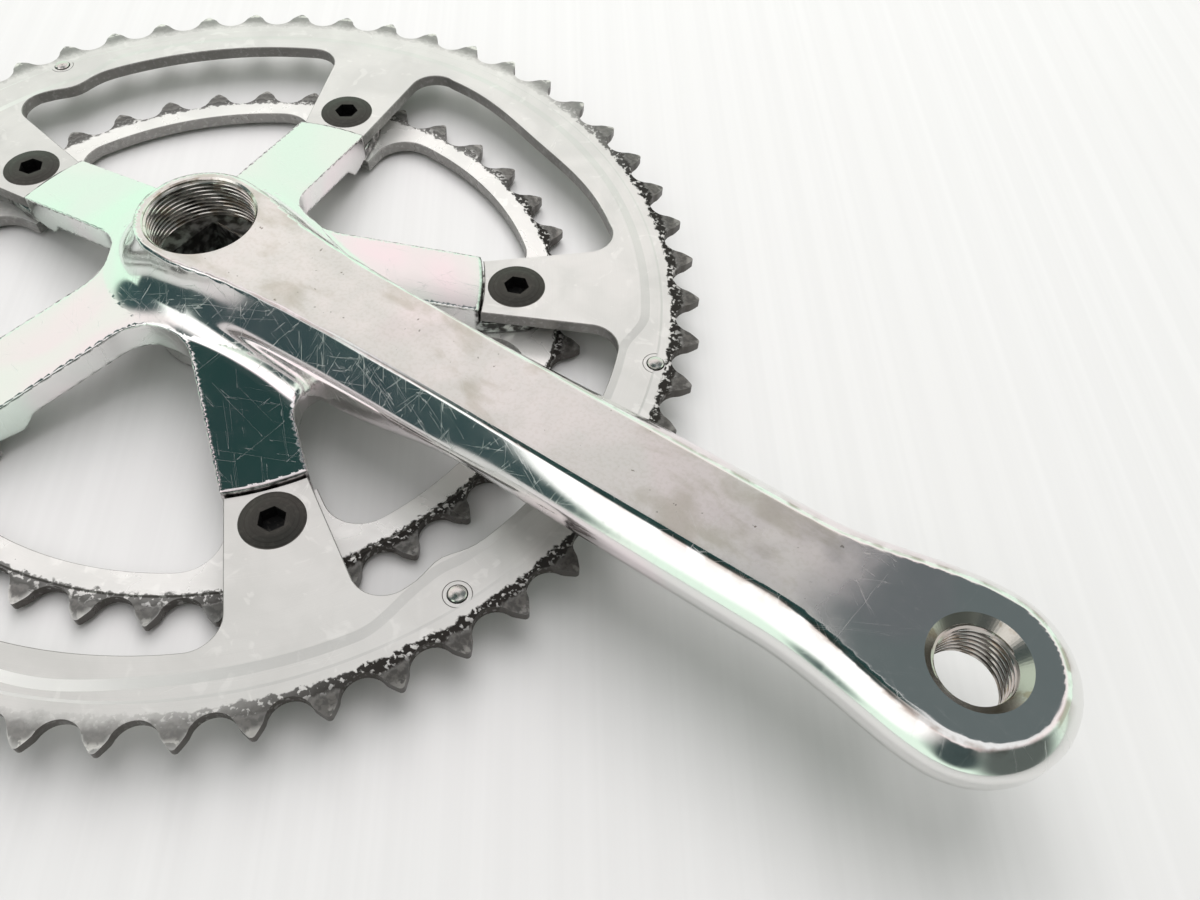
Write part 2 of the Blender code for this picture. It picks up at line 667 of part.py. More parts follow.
clear_scene()
PARTS = new_collection("bicycle_crankset")
CUTTERS = new_collection("cutters")
MATERIALS = {
    "arm": new_material("polished_anodised_aluminium", (0.78, 0.78, 0.77), 1.0, 0.18),
    "outer_ring": new_material("satin_aluminium", (0.62, 0.61, 0.60), 1.0, 0.42),
    "inner_ring": new_material("bright_aluminium", (0.75, 0.74, 0.71), 1.0, 0.33),
    "bolt": new_material("dark_grey_steel", (0.10, 0.10, 0.10), 0.8, 0.45),
    "nut": new_material("zinc_plated_steel", (0.45, 0.45, 0.45), 1.0, 0.35),
    "pin": new_material("pin_steel", (0.55, 0.54, 0.52), 1.0, 0.30),
}
make_outer_chainring()
make_inner_chainring()
make_crank_arm()
make_bolts()
make_nuts()
make_shift_pins()
make_drop_pin()
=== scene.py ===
"""The looks of a drive-side bicycle crankset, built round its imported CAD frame.

Lengths in the modelling functions are millimetres in the frame's own axes: +Z along the spindle,
outboard, and +X along the crank arm. Meshes are scaled to metres when they become objects.
"""

import json
import math

import bmesh
import bpy
import numpy as np
from mathutils import Matrix, Vector


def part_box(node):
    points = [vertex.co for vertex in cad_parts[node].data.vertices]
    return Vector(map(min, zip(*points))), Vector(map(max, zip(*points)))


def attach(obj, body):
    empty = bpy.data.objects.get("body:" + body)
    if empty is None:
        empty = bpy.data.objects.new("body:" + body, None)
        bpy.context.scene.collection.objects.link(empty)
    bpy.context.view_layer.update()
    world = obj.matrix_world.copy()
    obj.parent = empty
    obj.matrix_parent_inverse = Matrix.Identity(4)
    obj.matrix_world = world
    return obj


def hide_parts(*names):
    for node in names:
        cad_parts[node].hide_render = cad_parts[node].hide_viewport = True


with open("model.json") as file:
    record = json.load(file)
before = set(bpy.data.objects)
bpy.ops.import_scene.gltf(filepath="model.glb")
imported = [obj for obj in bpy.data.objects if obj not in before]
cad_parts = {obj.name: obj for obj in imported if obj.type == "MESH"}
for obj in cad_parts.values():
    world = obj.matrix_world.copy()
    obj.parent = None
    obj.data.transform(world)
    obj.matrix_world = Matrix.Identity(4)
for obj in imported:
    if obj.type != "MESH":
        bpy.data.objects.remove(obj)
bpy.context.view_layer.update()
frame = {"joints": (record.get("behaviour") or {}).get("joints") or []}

MM = 0.001
FULL_TURN = 2.0 * math.pi


def box_mm(node):
    low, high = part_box(node)
    return np.array(low) / MM, np.array(high) / MM


# ---- sizes that the pieces share

ARM_LOW, ARM_HIGH = box_mm("crank_arm")
DROP_PIN_LOW, DROP_PIN_HIGH = box_mm("chain_drop_pin")

BOLT_COUNT = 5
HALF_STEP = math.pi / BOLT_COUNT
BOLT_CIRCLE = 65.0
ARM_LENGTH = 172.5
HUB_FRONT_Z = 30.5
EYE_FRONT_Z = float(ARM_HIGH[2])
CHAIN_PITCH = 12.7
SLEEVE_HOLE_RADIUS = 5.2

# ---- field helpers


def smooth_step(low, high, value):
    t = np.clip((value - low) / (high - low), 0.0, 1.0)
    return t * t * (3.0 - 2.0 * t)


def fillet_union(a, b, radius):
    """The union of two fields with a concave fillet where their surfaces meet."""
    u = np.maximum(radius - a, 0.0)
    v = np.maximum(radius - b, 0.0)
    return np.maximum(radius, np.minimum(a, b)) - np.sqrt(u * u + v * v)


def round_intersection(a, b, radius):
    """The intersection of two fields with its edge rounded."""
    u = np.maximum(radius + a, 0.0)
    v = np.maximum(radius + b, 0.0)
    return np.minimum(-radius, np.maximum(a, b)) + np.sqrt(u * u + v * v)


# ---- crank arm and spider

HUB_FACE_RADIUS = 13.3
HUB_SHOULDER_END_X = 10.0
HUB_SHOULDER_CURVE = 0.011
HUB_TAPER = 3.8
HUB_TAPER_LENGTH = 15.0
WAIST_HALF_WIDTH = 8.4
EYE_FACE_RADIUS = 13.8
EYE_WIDENING_START_X = 140.0
FACE_CLIMB_X = (17.0, 153.0)
FACET_LEAN = 0.68
FACET_DEPTH = 6.2
FACET_ROLL = 2.4
ROUND_FLANK_X = (62.0, 118.0)
ROUND_FLANK_WIDTH = 5.0
ROUND_FLANK_DEPTH = 6.4
EYE_FLANK_WIDTH = 3.9
EYE_FLANK_DEPTH = 5.0
EYE_FLANK_X = (140.0, 165.0)
HUB_FLARE = 7.4
HUB_FLARE_DEPTH = 11.2
HUB_FLARE_LINEAR = 0.35
HUB_FLARE_POWER = 2.4
HUB_FLARE_X = (6.0, 34.0)
UNDERSIDE_ROUNDING = 5.2
WEB_UNDERSIDE_Z = 11.0
FREE_UNDERSIDE_Z = 18.7
EYE_UNDERSIDE_Z = 19.6
UNDERSIDE_RISE_X = (44.0, 80.0)
EYE_UNDERSIDE_X = (130.0, 160.0)
FACE_EDGE_ROUNDING = 0.5

SPIDER_HALF_WIDTH = 8.4
LUG_RADIUS = 8.0
CROTCH_FILLET = 11.0
WEB_EDGE_X = 38.0
WEB_FILLET = 3.5
STEP_RADIUS = 57.4
STEP_Z = 11.3
DISH_SLOPE = 0.225
SPIDER_THICKNESS = 6.3
ARCH_START = 47.0
LUG_START = 51.0
LUG_BLEND_START = 58.0
TONGUE_Z = (4.0, 7.0)
SPIDER_EDGE_ROUNDING = 0.4
STEP_LIP_ROUNDING = 0.7
BOSS_RADIUS = 17.0
BOSS_TOP_Z = 12.0
BOSS_CHAMFER = 0.6
BOSS_FILLET = 3.0
SCOOP_FILLET = 5.5
HUB_FOOT_FILLET = 2.0
SCOOP_X = (10.0, 40.0)

EXTRACTOR_FLOOR_Z = 20.5
EXTRACTOR_THREAD = dict(minor=10.9, depth=0.55, pitch=1.0, mouth=11.75)
PEDAL_THREAD = dict(minor=6.45, depth=0.7, pitch=1.27, mouth=8.6)
THREAD_CREST = 2.4
THREAD_ROOT = 0.5
THREAD_RUN_OUT = 1.5
SOCKET_MOUTH_HALF = 6.7
SOCKET_TAPER = 0.02

# The arm's field is sampled at this spacing, and this far past the forging.
ARM_GRID = 0.68
GRID_MARGIN = 1.4


def face_half_width(x):
    shoulder = HUB_FACE_RADIUS - HUB_SHOULDER_CURVE * x * x
    taper = WAIST_HALF_WIDTH + HUB_TAPER * np.exp((HUB_SHOULDER_END_X - x) / HUB_TAPER_LENGTH)
    taper = taper + (EYE_FACE_RADIUS - taper) * smooth_step(EYE_WIDENING_START_X, ARM_LENGTH, x)
    return np.where(x < HUB_SHOULDER_END_X, shoulder, taper)


def arm_outline(x, y):
    """Distance in plan from the outline of the arm's flat outer face."""
    reach = 0.5
    slope = (face_half_width(x + reach) - face_half_width(x - reach)) / (2.0 * reach)
    strip = (np.abs(y) - face_half_width(x)) / np.sqrt(1.0 + slope * slope)
    hub = np.hypot(x, y) - HUB_FACE_RADIUS
    eye = np.hypot(x - ARM_LENGTH, y) - EYE_FACE_RADIUS
    return np.where(x < 0.0, hub, np.where(x > ARM_LENGTH, eye, strip))


def face_z(x):
    climb = np.clip((x - FACE_CLIMB_X[0]) / (FACE_CLIMB_X[1] - FACE_CLIMB_X[0]), 0.0, 1.0)
    return HUB_FRONT_Z + (EYE_FRONT_Z - HUB_FRONT_Z) * climb


def arm_underside_z(x):
    rise = (FREE_UNDERSIDE_Z - WEB_UNDERSIDE_Z) * smooth_step(*UNDERSIDE_RISE_X, x)
    eye = (EYE_UNDERSIDE_Z - FREE_UNDERSIDE_Z) * smooth_step(*EYE_UNDERSIDE_X, x)
    return WEB_UNDERSIDE_Z + rise + eye


def arm_field(x, y, z):
    """The arm: its flat face, flanks that swell below it and a rounded underside."""
    hub = 1.0 - smooth_step(*HUB_FLARE_X, x)
    below_face = face_z(x) - z
    down = np.maximum(below_face, 0.0)
    rolled = np.clip(down - FACET_DEPTH, 0.0, FACET_ROLL)
    reached = np.minimum(down, FACET_DEPTH) + rolled - rolled * rolled / (2.0 * FACET_ROLL)
    facet = FACET_LEAN * reached
    facet_slope = FACET_LEAN * (1.0 - rolled / FACET_ROLL)
    eye = smooth_step(*EYE_FLANK_X, x)
    width = ROUND_FLANK_WIDTH + (EYE_FLANK_WIDTH - ROUND_FLANK_WIDTH) * eye
    depth = ROUND_FLANK_DEPTH + (EYE_FLANK_DEPTH - ROUND_FLANK_DEPTH) * eye
    angle = 0.5 * math.pi * np.clip(down / depth, 0.0, 1.0)
    swell_slope = width * 0.5 * math.pi / depth * np.cos(angle)
    is_round = smooth_step(*ROUND_FLANK_X, x)
    s = np.clip(below_face / HUB_FLARE_DEPTH, 0.001, 1.0)
    curved = 1.0 - HUB_FLARE_LINEAR
    power = HUB_FLARE_POWER
    flare = HUB_FLARE * (HUB_FLARE_LINEAR * s + curved * s**power)
    steepness = HUB_FLARE_LINEAR + curved * power * s ** (power - 1.0)
    flare_slope = HUB_FLARE * steepness / HUB_FLARE_DEPTH * (s < 1.0)
    offset = facet + (width * np.sin(angle) - facet) * is_round
    slope = facet_slope + (swell_slope - facet_slope) * is_round
    offset = offset + (flare - offset) * hub
    slope = slope + (flare_slope - slope) * hub
    side = (arm_outline(x, y) - offset) / np.sqrt(1.0 + slope * slope)
    rounding = SPIDER_EDGE_ROUNDING + UNDERSIDE_ROUNDING * (1.0 - hub)
    body = round_intersection(side, arm_underside_z(x) - z, rounding)
    return round_intersection(body, -below_face, FACE_EDGE_ROUNDING)


def spider_arm_place(x, y):
    """A point's place along and across the nearest of the five spider arms."""
    radius = np.hypot(x, y)
    turn = np.arctan2(y, x) + math.pi
    turn = np.mod(turn + HALF_STEP, 2.0 * HALF_STEP) - HALF_STEP
    return radius * np.cos(turn), np.abs(radius * np.sin(turn))


def star_plan(x, y):
    """Distance in plan from the five arms, with their lugs, crotch fillets and the web."""
    along, across = spider_arm_place(x, y)
    reach = (SPIDER_HALF_WIDTH + CROTCH_FILLET) / math.sin(HALF_STEP)
    fillet_x = reach * math.cos(HALF_STEP)
    fillet_y = reach * math.sin(HALF_STEP)
    crotch = CROTCH_FILLET - np.hypot(along - fillet_x, across - fillet_y)
    to_lug = smooth_step(LUG_BLEND_START, BOLT_CIRCLE, along)
    half = SPIDER_HALF_WIDTH + (LUG_RADIUS - SPIDER_HALF_WIDTH) * to_lug
    plan = np.where(along < fillet_x, crotch, across - half)
    plan = np.where(along > BOLT_CIRCLE, np.hypot(along - BOLT_CIRCLE, across) - LUG_RADIUS, plan)
    wedge = np.abs(y) * math.cos(HALF_STEP) - x * math.sin(HALF_STEP)
    return fillet_union(plan, np.maximum(x - WEB_EDGE_X, wedge), WEB_FILLET)


def spider_field(x, y, z):
    radius = np.hypot(x, y)
    dish = STEP_Z + DISH_SLOPE * (STEP_RADIUS - radius)
    lean = 1.0 / math.sqrt(1.0 + DISH_SLOPE**2)
    core = round_intersection((z - dish) * lean, radius - STEP_RADIUS, STEP_LIP_ROUNDING)
    top = np.minimum(core, z - TONGUE_Z[1])
    lug = smooth_step(ARCH_START, LUG_START, radius)
    back = dish - SPIDER_THICKNESS
    back = back + (TONGUE_Z[0] - back) * lug
    shell = round_intersection(star_plan(x, y), top, SPIDER_EDGE_ROUNDING)
    shell = round_intersection(shell, (back - z) * lean, SPIDER_EDGE_ROUNDING)
    boss = round_intersection(radius - BOSS_RADIUS, -z, BOSS_CHAMFER)
    boss = np.maximum(boss, z - BOSS_TOP_Z)
    return fillet_union(shell, boss, BOSS_FILLET)


def crank_field(x, y, z):
    """The whole forging, with its bores and holes taken out, but without the threads."""
    scoop = HUB_FOOT_FILLET + (SCOOP_FILLET - HUB_FOOT_FILLET) * smooth_step(*SCOOP_X, x)
    body = fillet_union(arm_field(x, y, z), spider_field(x, y, z), scoop)
    extractor = np.maximum(np.hypot(x, y) - EXTRACTOR_THREAD["minor"], EXTRACTOR_FLOOR_Z - z)
    socket = np.maximum(np.abs(x), np.abs(y)) - (SOCKET_MOUTH_HALF - SOCKET_TAPER * z)
    pedal = np.hypot(x - ARM_LENGTH, y) - PEDAL_THREAD["minor"]
    body = np.maximum(body, -np.minimum(np.minimum(extractor, socket), pedal))
    along, across = spider_arm_place(x, y)
    return np.maximum(body, SLEEVE_HOLE_RADIUS - np.hypot(along - BOLT_CIRCLE, across))


# ---- dual contouring

GRID_SLAB = 24
SEARCH_STEPS = 6
FLATTEST_SHARE = 0.06


def field_gradient(field, points, reach=0.04):
    gradient = np.empty_like(points)
    for axis in range(3):
        ahead = points.copy()
        behind = points.copy()
        ahead[:, axis] += reach
        behind[:, axis] -= reach
        gradient[:, axis] = field(*ahead.T) - field(*behind.T)
    length = np.linalg.norm(gradient, axis=1, keepdims=True)
    return gradient / np.maximum(length, 1e-9)


def crossings(field, start, end, value_start, value_end):
    """Where the field is zero between pairs of points, by a bracketed secant search."""
    low = np.zeros(len(start))
    high = np.ones(len(start))
    f_low = value_start.astype(float)
    f_high = value_end.astype(float)
    for step in range(SEARCH_STEPS):
        share = f_low / (f_low - f_high)
        if step % 2:
            share = np.full_like(share, 0.5)
        t = low + (high - low) * np.clip(share, 0.02, 0.98)
        f = field(*(start + (end - start) * t[:, None]).T)
        same = (f < 0.0) == (f_low < 0.0)
        low = np.where(same, t, low)
        f_low = np.where(same, f, f_low)
        high = np.where(same, high, t)
        f_high = np.where(same, f_high, f)
    t = low + (high - low) * f_low / (f_low - f_high)
    return start + (end - start) * t[:, None]


def dual_contour(field, low, high, step):
    """Vertices and quads of a field's zero surface, with its sharp edges kept."""
    axes = [np.arange(a, b + step, step) for a, b in zip(low, high)]
    shape = tuple(len(a) for a in axes)
    values = np.empty(shape, np.float32)
    lines = [a.astype(np.float32) for a in axes]
    for i in range(0, shape[0], GRID_SLAB):
        grid = np.meshgrid(lines[0][i : i + GRID_SLAB], lines[1], lines[2], indexing="ij")
        values[i : i + GRID_SLAB] = field(*grid)
    inside = values < 0.0
    origin = np.array([a[0] for a in axes])
    strides = np.array([shape[1] * shape[2], shape[2], 1])
    points, normals, cells, flips = [], [], [], []
    for axis in range(3):
        first = [slice(None)] * 3
        second = [slice(None)] * 3
        first[axis] = slice(0, -1)
        second[axis] = slice(1, None)
        index = np.argwhere(inside[tuple(first)] != inside[tuple(second)])
        other = index.copy()
        other[:, axis] += 1
        start = origin + index * step
        end = origin + other * step
        found = crossings(field, start, end, values[tuple(index.T)], values[tuple(other.T)])
        points.append(found)
        normals.append(field_gradient(field, found))
        flips.append(inside[tuple(index.T)])
        one = (axis + 1) % 3
        two = (axis + 2) % 3
        around = []
        for back_one, back_two in ((1, 1), (0, 1), (0, 0), (1, 0)):
            corner = index.copy()
            corner[:, one] -= back_one
            corner[:, two] -= back_two
            around.append(corner @ strides)
        cells.append(np.stack(around, axis=1))
    points = np.concatenate(points)
    normals = np.concatenate(normals)
    cells = np.concatenate(cells)
    flips = np.concatenate(flips)
    used, quads = np.unique(cells, return_inverse=True)
    quads = quads.reshape(cells.shape)
    vertices = solve_cells(points, normals, quads, used, strides, origin, step)
    quads = np.where(flips[:, None], quads, quads[:, ::-1])
    return vertices, quads


def solve_cells(points, normals, quads, used, strides, origin, step):
    """Each cell's vertex: the point nearest the tangent planes where its edges cross the surface."""
    owner = quads.reshape(-1)
    edge = np.repeat(np.arange(len(points)), 4)
    count = np.bincount(owner, minlength=len(used))[:, None]

    def summed(values):
        return np.bincount(owner, weights=values[edge], minlength=len(used))

    centre = np.stack([summed(points[:, k]) for k in range(3)], axis=1) / count
    height = np.einsum("ij,ij->i", points, normals)
    matrix = np.empty((len(used), 3, 3))
    target = np.empty((len(used), 3))
    for a in range(3):
        target[:, a] = summed(normals[:, a] * height)
        for b in range(3):
            matrix[:, a, b] = summed(normals[:, a] * normals[:, b])
    target -= np.einsum("nij,nj->ni", matrix, centre)
    size, direction = np.linalg.eigh(matrix)
    keep = size > FLATTEST_SHARE * size[:, 2:3]
    inverse = np.where(keep, 1.0 / np.where(keep, size, 1.0), 0.0)
    local = np.einsum("nji,nj->ni", direction, target) * inverse
    vertices = centre + np.einsum("nij,nj->ni", direction, local)
    cell = np.stack([used // strides[0], used % strides[0] // strides[1], used % strides[1]], axis=1)
    corner = origin + cell * step
    return np.clip(vertices, corner, corner + step)


# ---- objects and meshes

NORMAL_INWARD_SHARE = 0.3
SMOOTH_ANGLE = 14.0
THREAD_ROWS_PER_TURN = 8
THREAD_STEPS = 96


def linked(name, data):
    """A new object in the scene."""
    obj = bpy.data.objects.new(name, data)
    bpy.context.scene.collection.objects.link(obj)
    return obj


def placed(name, mesh, materials):
    for material in materials:
        mesh.materials.append(material)
    return linked(name, mesh)


def mesh_object(name, vertices, faces, materials):
    """An object from millimetre vertices, with its place in its mesh."""
    mesh = bpy.data.meshes.new(name)
    mesh.from_pydata((np.asarray(vertices) * MM).tolist(), [], faces)
    return placed(name, mesh, materials)


def evaluated_mesh(obj):
    bpy.context.view_layer.update()
    return bpy.data.meshes.new_from_object(obj.evaluated_get(bpy.context.evaluated_depsgraph_get()))


def cut(obj, *cutters):
    """Takes cutters away from an object, then removes them."""
    for tool in cutters:
        modifier = obj.modifiers.new("cut", "BOOLEAN")
        modifier.operation = "DIFFERENCE"
        modifier.object = tool
        modifier.material_mode = "TRANSFER"
    old = obj.data
    mesh = evaluated_mesh(obj)
    obj.modifiers.clear()
    obj.data = mesh
    bpy.data.meshes.remove(old)
    for tool in cutters:
        bpy.data.objects.remove(tool, do_unlink=True)


def shade(obj, angle):
    obj.data.shade_smooth()
    obj.data.set_sharp_from_angle(angle=math.radians(angle))


def stand_in(obj, body, node):
    """Sets a piece on its body, in the place of its CAD node."""
    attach(obj, body)
    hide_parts(node)


def swept_ring(name, profile, steps, materials):
    """A closed ring round the Z axis; profile gives its (radius, z) section at an angle."""
    rings = [profile(FULL_TURN * i / steps) for i in range(steps)]
    count = len(rings[0])
    vertices = []
    faces = []
    for i, ring in enumerate(rings):
        angle = FULL_TURN * i / steps
        vertices += [(r * math.cos(angle), r * math.sin(angle), z) for r, z in ring]
        ahead = (i + 1) % steps
        for j in range(count):
            k = (j + 1) % count
            faces.append((i * count + j, ahead * count + j, ahead * count + k, i * count + k))
    return mesh_object(name, vertices, faces, materials)


def turned(name, profile, steps, centre=(0.0, 0.0), materials=()):
    """A solid of revolution from a (radius, z) profile that starts and ends on the axis."""
    x, y = centre
    inner = [point for point in profile if point[0] > 0.0]
    vertices = [(x, y, profile[0][1]), (x, y, profile[-1][1])]
    for i in range(steps):
        angle = FULL_TURN * i / steps
        vertices += [(x + r * math.cos(angle), y + r * math.sin(angle), z) for r, z in inner]
    count = len(inner)
    faces = []
    for i in range(steps):
        here = 2 + i * count
        ahead = 2 + (i + 1) % steps * count
        faces.append((0, here, ahead))
        for j in range(count - 1):
            faces.append((here + j, here + j + 1, ahead + j + 1, ahead + j))
        faces.append((1, ahead + count - 1, here + count - 1))
    return mesh_object(name, vertices, faces, materials)


def threaded_cutter(name, centre, thread, z_low, z_high, mouths, material):
    """A screw-shaped cutter; mouths are levels whose edges it opens with a chamfer."""
    around = THREAD_STEPS
    rows = int((z_high - z_low) / thread["pitch"] * THREAD_ROWS_PER_TURN)
    profile_z = np.linspace(z_low, z_high, rows)
    angle = np.linspace(0.0, FULL_TURN, around, endpoint=False)
    turn, level = np.meshgrid(angle, profile_z)
    phase = np.mod(level / thread["pitch"] - turn / FULL_TURN, 1.0)
    crest = np.clip(THREAD_CREST * (1.0 - np.abs(2.0 * phase - 1.0)) - THREAD_ROOT, 0.0, 1.0)
    radius = thread["minor"] + thread["depth"] * crest
    for mouth, side in mouths:
        radius = np.maximum(radius, thread["mouth"] - side * (mouth - level))
    radius = np.minimum(radius, thread["mouth"] + THREAD_RUN_OUT)
    x = centre[0] + radius * np.cos(turn)
    y = centre[1] + radius * np.sin(turn)
    vertices = np.stack([x, y, level], axis=2).reshape(-1, 3)
    faces = []
    for j in range(rows - 1):
        for i in range(around):
            k = (i + 1) % around
            faces.append((j * around + i, j * around + k, (j + 1) * around + k, (j + 1) * around + i))
    faces.append(tuple(reversed(range(around))))
    faces.append(tuple(range((rows - 1) * around, rows * around)))
    return mesh_object(name, vertices, faces, [material])


def read_all(items, attribute, width=1, kind=float):
    """One attribute of each item, as rows of an array."""
    values = np.empty(len(items) * width, kind)
    items.foreach_get(attribute, values)
    return values.reshape(-1, width) if width > 1 else values


def set_field_normals(obj, field):
    """Gives the faces of the first material their shading normals from the field itself."""
    mesh = obj.data
    mesh.shade_smooth()
    vertex = read_all(mesh.loops, "vertex_index", kind=np.int32)
    place = read_all(mesh.vertices, "co", 3) / MM
    totals = read_all(mesh.polygons, "loop_total", kind=np.int32)
    owner = np.repeat(np.arange(len(totals)), totals)
    slots = read_all(mesh.polygons, "material_index", kind=np.int32)[owner]
    centres = read_all(mesh.polygons, "center", 3)[owner] / MM
    flat = read_all(mesh.polygons, "normal", 3)[owner]
    own = field_gradient(field, place)[vertex]
    inward = place[vertex] + NORMAL_INWARD_SHARE * (centres - place[vertex])
    local = field_gradient(field, inward)
    agree = np.einsum("ij,ij->i", own, local) > math.cos(math.radians(SMOOTH_ANGLE))
    lowest = np.ones(len(place))
    np.minimum.at(lowest, vertex, agree.astype(float))
    normal = np.where((lowest[vertex] > 0.5)[:, None], own, local)
    strange = np.einsum("ij,ij->i", normal, flat) < 0.5
    normal = np.where((strange | (slots != 0))[:, None], flat, normal)
    mesh.normals_split_custom_set(normal.tolist())


def make_crank_arm():
    thread = MATERIALS["thread"]
    vertices, quads = dual_contour(crank_field, ARM_LOW - GRID_MARGIN, ARM_HIGH + GRID_MARGIN, ARM_GRID)
    arm = mesh_object("crank_arm_forging", vertices, quads.tolist(), [MATERIALS["arm"], thread])
    extractor = threaded_cutter(
        "extractor_thread", (0.0, 0.0), EXTRACTOR_THREAD, EXTRACTOR_FLOOR_Z + 0.05, HUB_FRONT_Z + 1.0,
        [(HUB_FRONT_Z, 1.0)], thread)
    pedal = threaded_cutter(
        "pedal_thread", (ARM_LENGTH, 0.0), PEDAL_THREAD, EYE_UNDERSIDE_Z - 1.0, EYE_FRONT_Z + 1.0,
        [(EYE_FRONT_Z, 1.0), (EYE_UNDERSIDE_Z, -1.0)], thread)
    cut(arm, extractor, pedal)
    set_field_normals(arm, crank_field)
    stand_in(arm, "crankset", "crank_arm")


# ---- chainrings

# Levels, the toothed band's chamfer, and how far its front and back cutters reach past the metal.
OUTER_RING = dict(
    teeth=52, z=(7.3, 10.3), tooth_z=(8.0, 9.82), chamfer=(103.2, 107.5), beyond=125.0, above=14.0,
    front_steps=480, back_start=99.6)
INNER_RING = dict(
    teeth=39, z=(0.7, 3.7), tooth_z=(1.3, 3.3), chamfer=(76.9, 81.0), beyond=86.0, above=8.0,
    front_steps=240, back_start=74.2)
OUTER_INSIDE = dict(radius=89.3, tab_end=57.8, tab_half_angle=8.0, fillet=6.5)
INNER_INSIDE = dict(radius=69.4, tab_end=56.5, tab_half_angle=9.2, fillet=8.0)
OUTER_RIM_Z = 9.95
OUTER_RIM_STEP = (97.5, 98.0)
INNER_RIM_STEP = (74.2, 74.5)
TOOTH_CHAMFER = 0.55
BACK_CHAMFER_REACH = (3.6, 8.0)
BACK_CUTTER_REACH = 25.0
BACK_CUTTER_DROP = 4.0
BACK_STEPS = 240
RECESS_STEPS = 64
RING_SHARP_ANGLE = 9.0
EDGE_BREAK = 0.18
TIP_OVER_PITCH = 1.25
TIP_ROUND = 0.75
TIP_HALF_ANGLE = 50.0
ROLLER_SEAT_RADIUS = 4.3
ROLLER_SEAT_HALF_ANGLE = 72.0
SEAT_POINTS = 16
TIP_POINTS = 7
FLANK_POINTS = 5
TAB_POINTS = 9
FILLET_POINTS = 14
INSIDE_STEPS = 44

# Swellings of an edge, each with its angle in degrees, its height and its half width in degrees.
OUTER_SWELLINGS = ((-17.5, 1.9, 3.0), (161.7, 2.4, 3.5), (73.0, 3.1, 14.0))
BEVEL_BAND_SWELLINGS = ((-63.0, 1.2, 8.0), (-18.3, -0.8, 2.5))
BEVEL_BAND_RADIUS = 93.1
BEVEL_BAND_WIDTH = 2.0
BEVEL_BAND_DIP = 4.0
BEVEL_BAND_DIPS = (((-30.0, -20.5), (24.0, 31.0)), ((152.0, 159.0), (205.0, 213.0)))

HEAD_RECESS_RADIUS = 6.9
HEAD_RECESS = (
    (0.0, 9.2), (HEAD_RECESS_RADIUS, 9.2), (HEAD_RECESS_RADIUS, 10.15), (HEAD_RECESS_RADIUS + 0.35, 10.5),
    (HEAD_RECESS_RADIUS + 0.35, 13.0), (0.0, 13.0),
)
NUT_RECESS = ((0.0, -1.0), (HEAD_RECESS_RADIUS, -1.0), (HEAD_RECESS_RADIUS, 2.1), (0.0, 2.1))
SLEEVE_HOLE_POINTS = 40

# Each shift pin's angle in degrees and its distance from the spindle's axis.
SHIFT_PINS = ((-18.3, 95.5), (22.9, 97.8), (161.3, 97.7), (203.0, 97.7))
PIN_HOLE_RADIUS = 2.0
PIN_HOLE_POINTS = 24
PIN_MARK = dict(radius=2.75, half_width=0.22, depth=0.12, steps=48)
DROP_PIN_CENTRE = tuple(0.5 * (DROP_PIN_LOW + DROP_PIN_HIGH)[:2])
BOLT_CENTRES = [
    (joint["pos_m"][0] / MM, joint["pos_m"][1] / MM)
    for joint in sorted(frame["joints"], key=lambda joint: joint["name"])
    if joint["name"].startswith("bolt_")
]


def polar(radius, degrees):
    angle = math.radians(degrees)
    return (radius * math.cos(angle), radius * math.sin(angle))


def arc_points(centre, radius, start, end, count):
    points = []
    for i in range(count):
        x, y = polar(radius, start + (end - start) * i / (count - 1))
        points.append((centre[0] + x, centre[1] + y))
    return points


def bezier_join(start, start_way, end, end_way, count):
    """Points between two ends, on a curve that leaves and arrives in the given directions."""
    gap = Vector(end) - Vector(start)
    a = Vector(start_way)
    b = Vector(end_way)
    cross = a.x * b.y - a.y * b.x
    reach = (gap.x * b.y - gap.y * b.x) / cross
    middle = Vector(start) + a * reach
    points = []
    for i in range(1, count):
        t = i / count
        point = Vector(start) * (1 - t) ** 2 + middle * 2.0 * t * (1 - t) + Vector(end) * t * t
        points.append(tuple(point))
    return points


def tooth_outline(teeth):
    """One closed outline of roller seats and rounded teeth, with a tooth centred at 0 degrees."""
    pitch_radius = 0.5 * CHAIN_PITCH / math.sin(math.pi / teeth)
    step = 360.0 / teeth

    def seat_points(angle):
        start = angle + 180.0 + ROLLER_SEAT_HALF_ANGLE
        end = angle + 180.0 - ROLLER_SEAT_HALF_ANGLE
        return arc_points(polar(pitch_radius, angle), ROLLER_SEAT_RADIUS, start, end, SEAT_POINTS)

    outline = []
    for tooth in range(teeth):
        here = tooth * step
        seat_angle = (tooth - 0.5) * step
        next_angle = (tooth + 0.5) * step
        seat = seat_points(seat_angle)
        tip_centre = polar(pitch_radius + TIP_OVER_PITCH - TIP_ROUND, here)
        tip = arc_points(tip_centre, TIP_ROUND, here - TIP_HALF_ANGLE, here + TIP_HALF_ANGLE, TIP_POINTS)
        seat_way = polar(1.0, seat_angle + 180.0 - ROLLER_SEAT_HALF_ANGLE - 90.0)
        tip_way = polar(1.0, here + 90.0 - TIP_HALF_ANGLE)
        rise = bezier_join(seat[-1], seat_way, tip[0], tip_way, FLANK_POINTS)
        tip_way = polar(1.0, here + 90.0 + TIP_HALF_ANGLE)
        seat_way = polar(1.0, next_angle + 180.0 + ROLLER_SEAT_HALF_ANGLE - 90.0)
        fall = bezier_join(tip[-1], tip_way, seat_points(next_angle)[0], seat_way, FLANK_POINTS)
        outline += seat + rise + tip + fall
    return outline


def swelling(angle, swellings):
    height = 0.0
    for centre, amount, half_width in swellings:
        away = (angle - centre + 180.0) % 360.0 - 180.0
        height += amount * math.exp(-((away / half_width) ** 2))
    return height


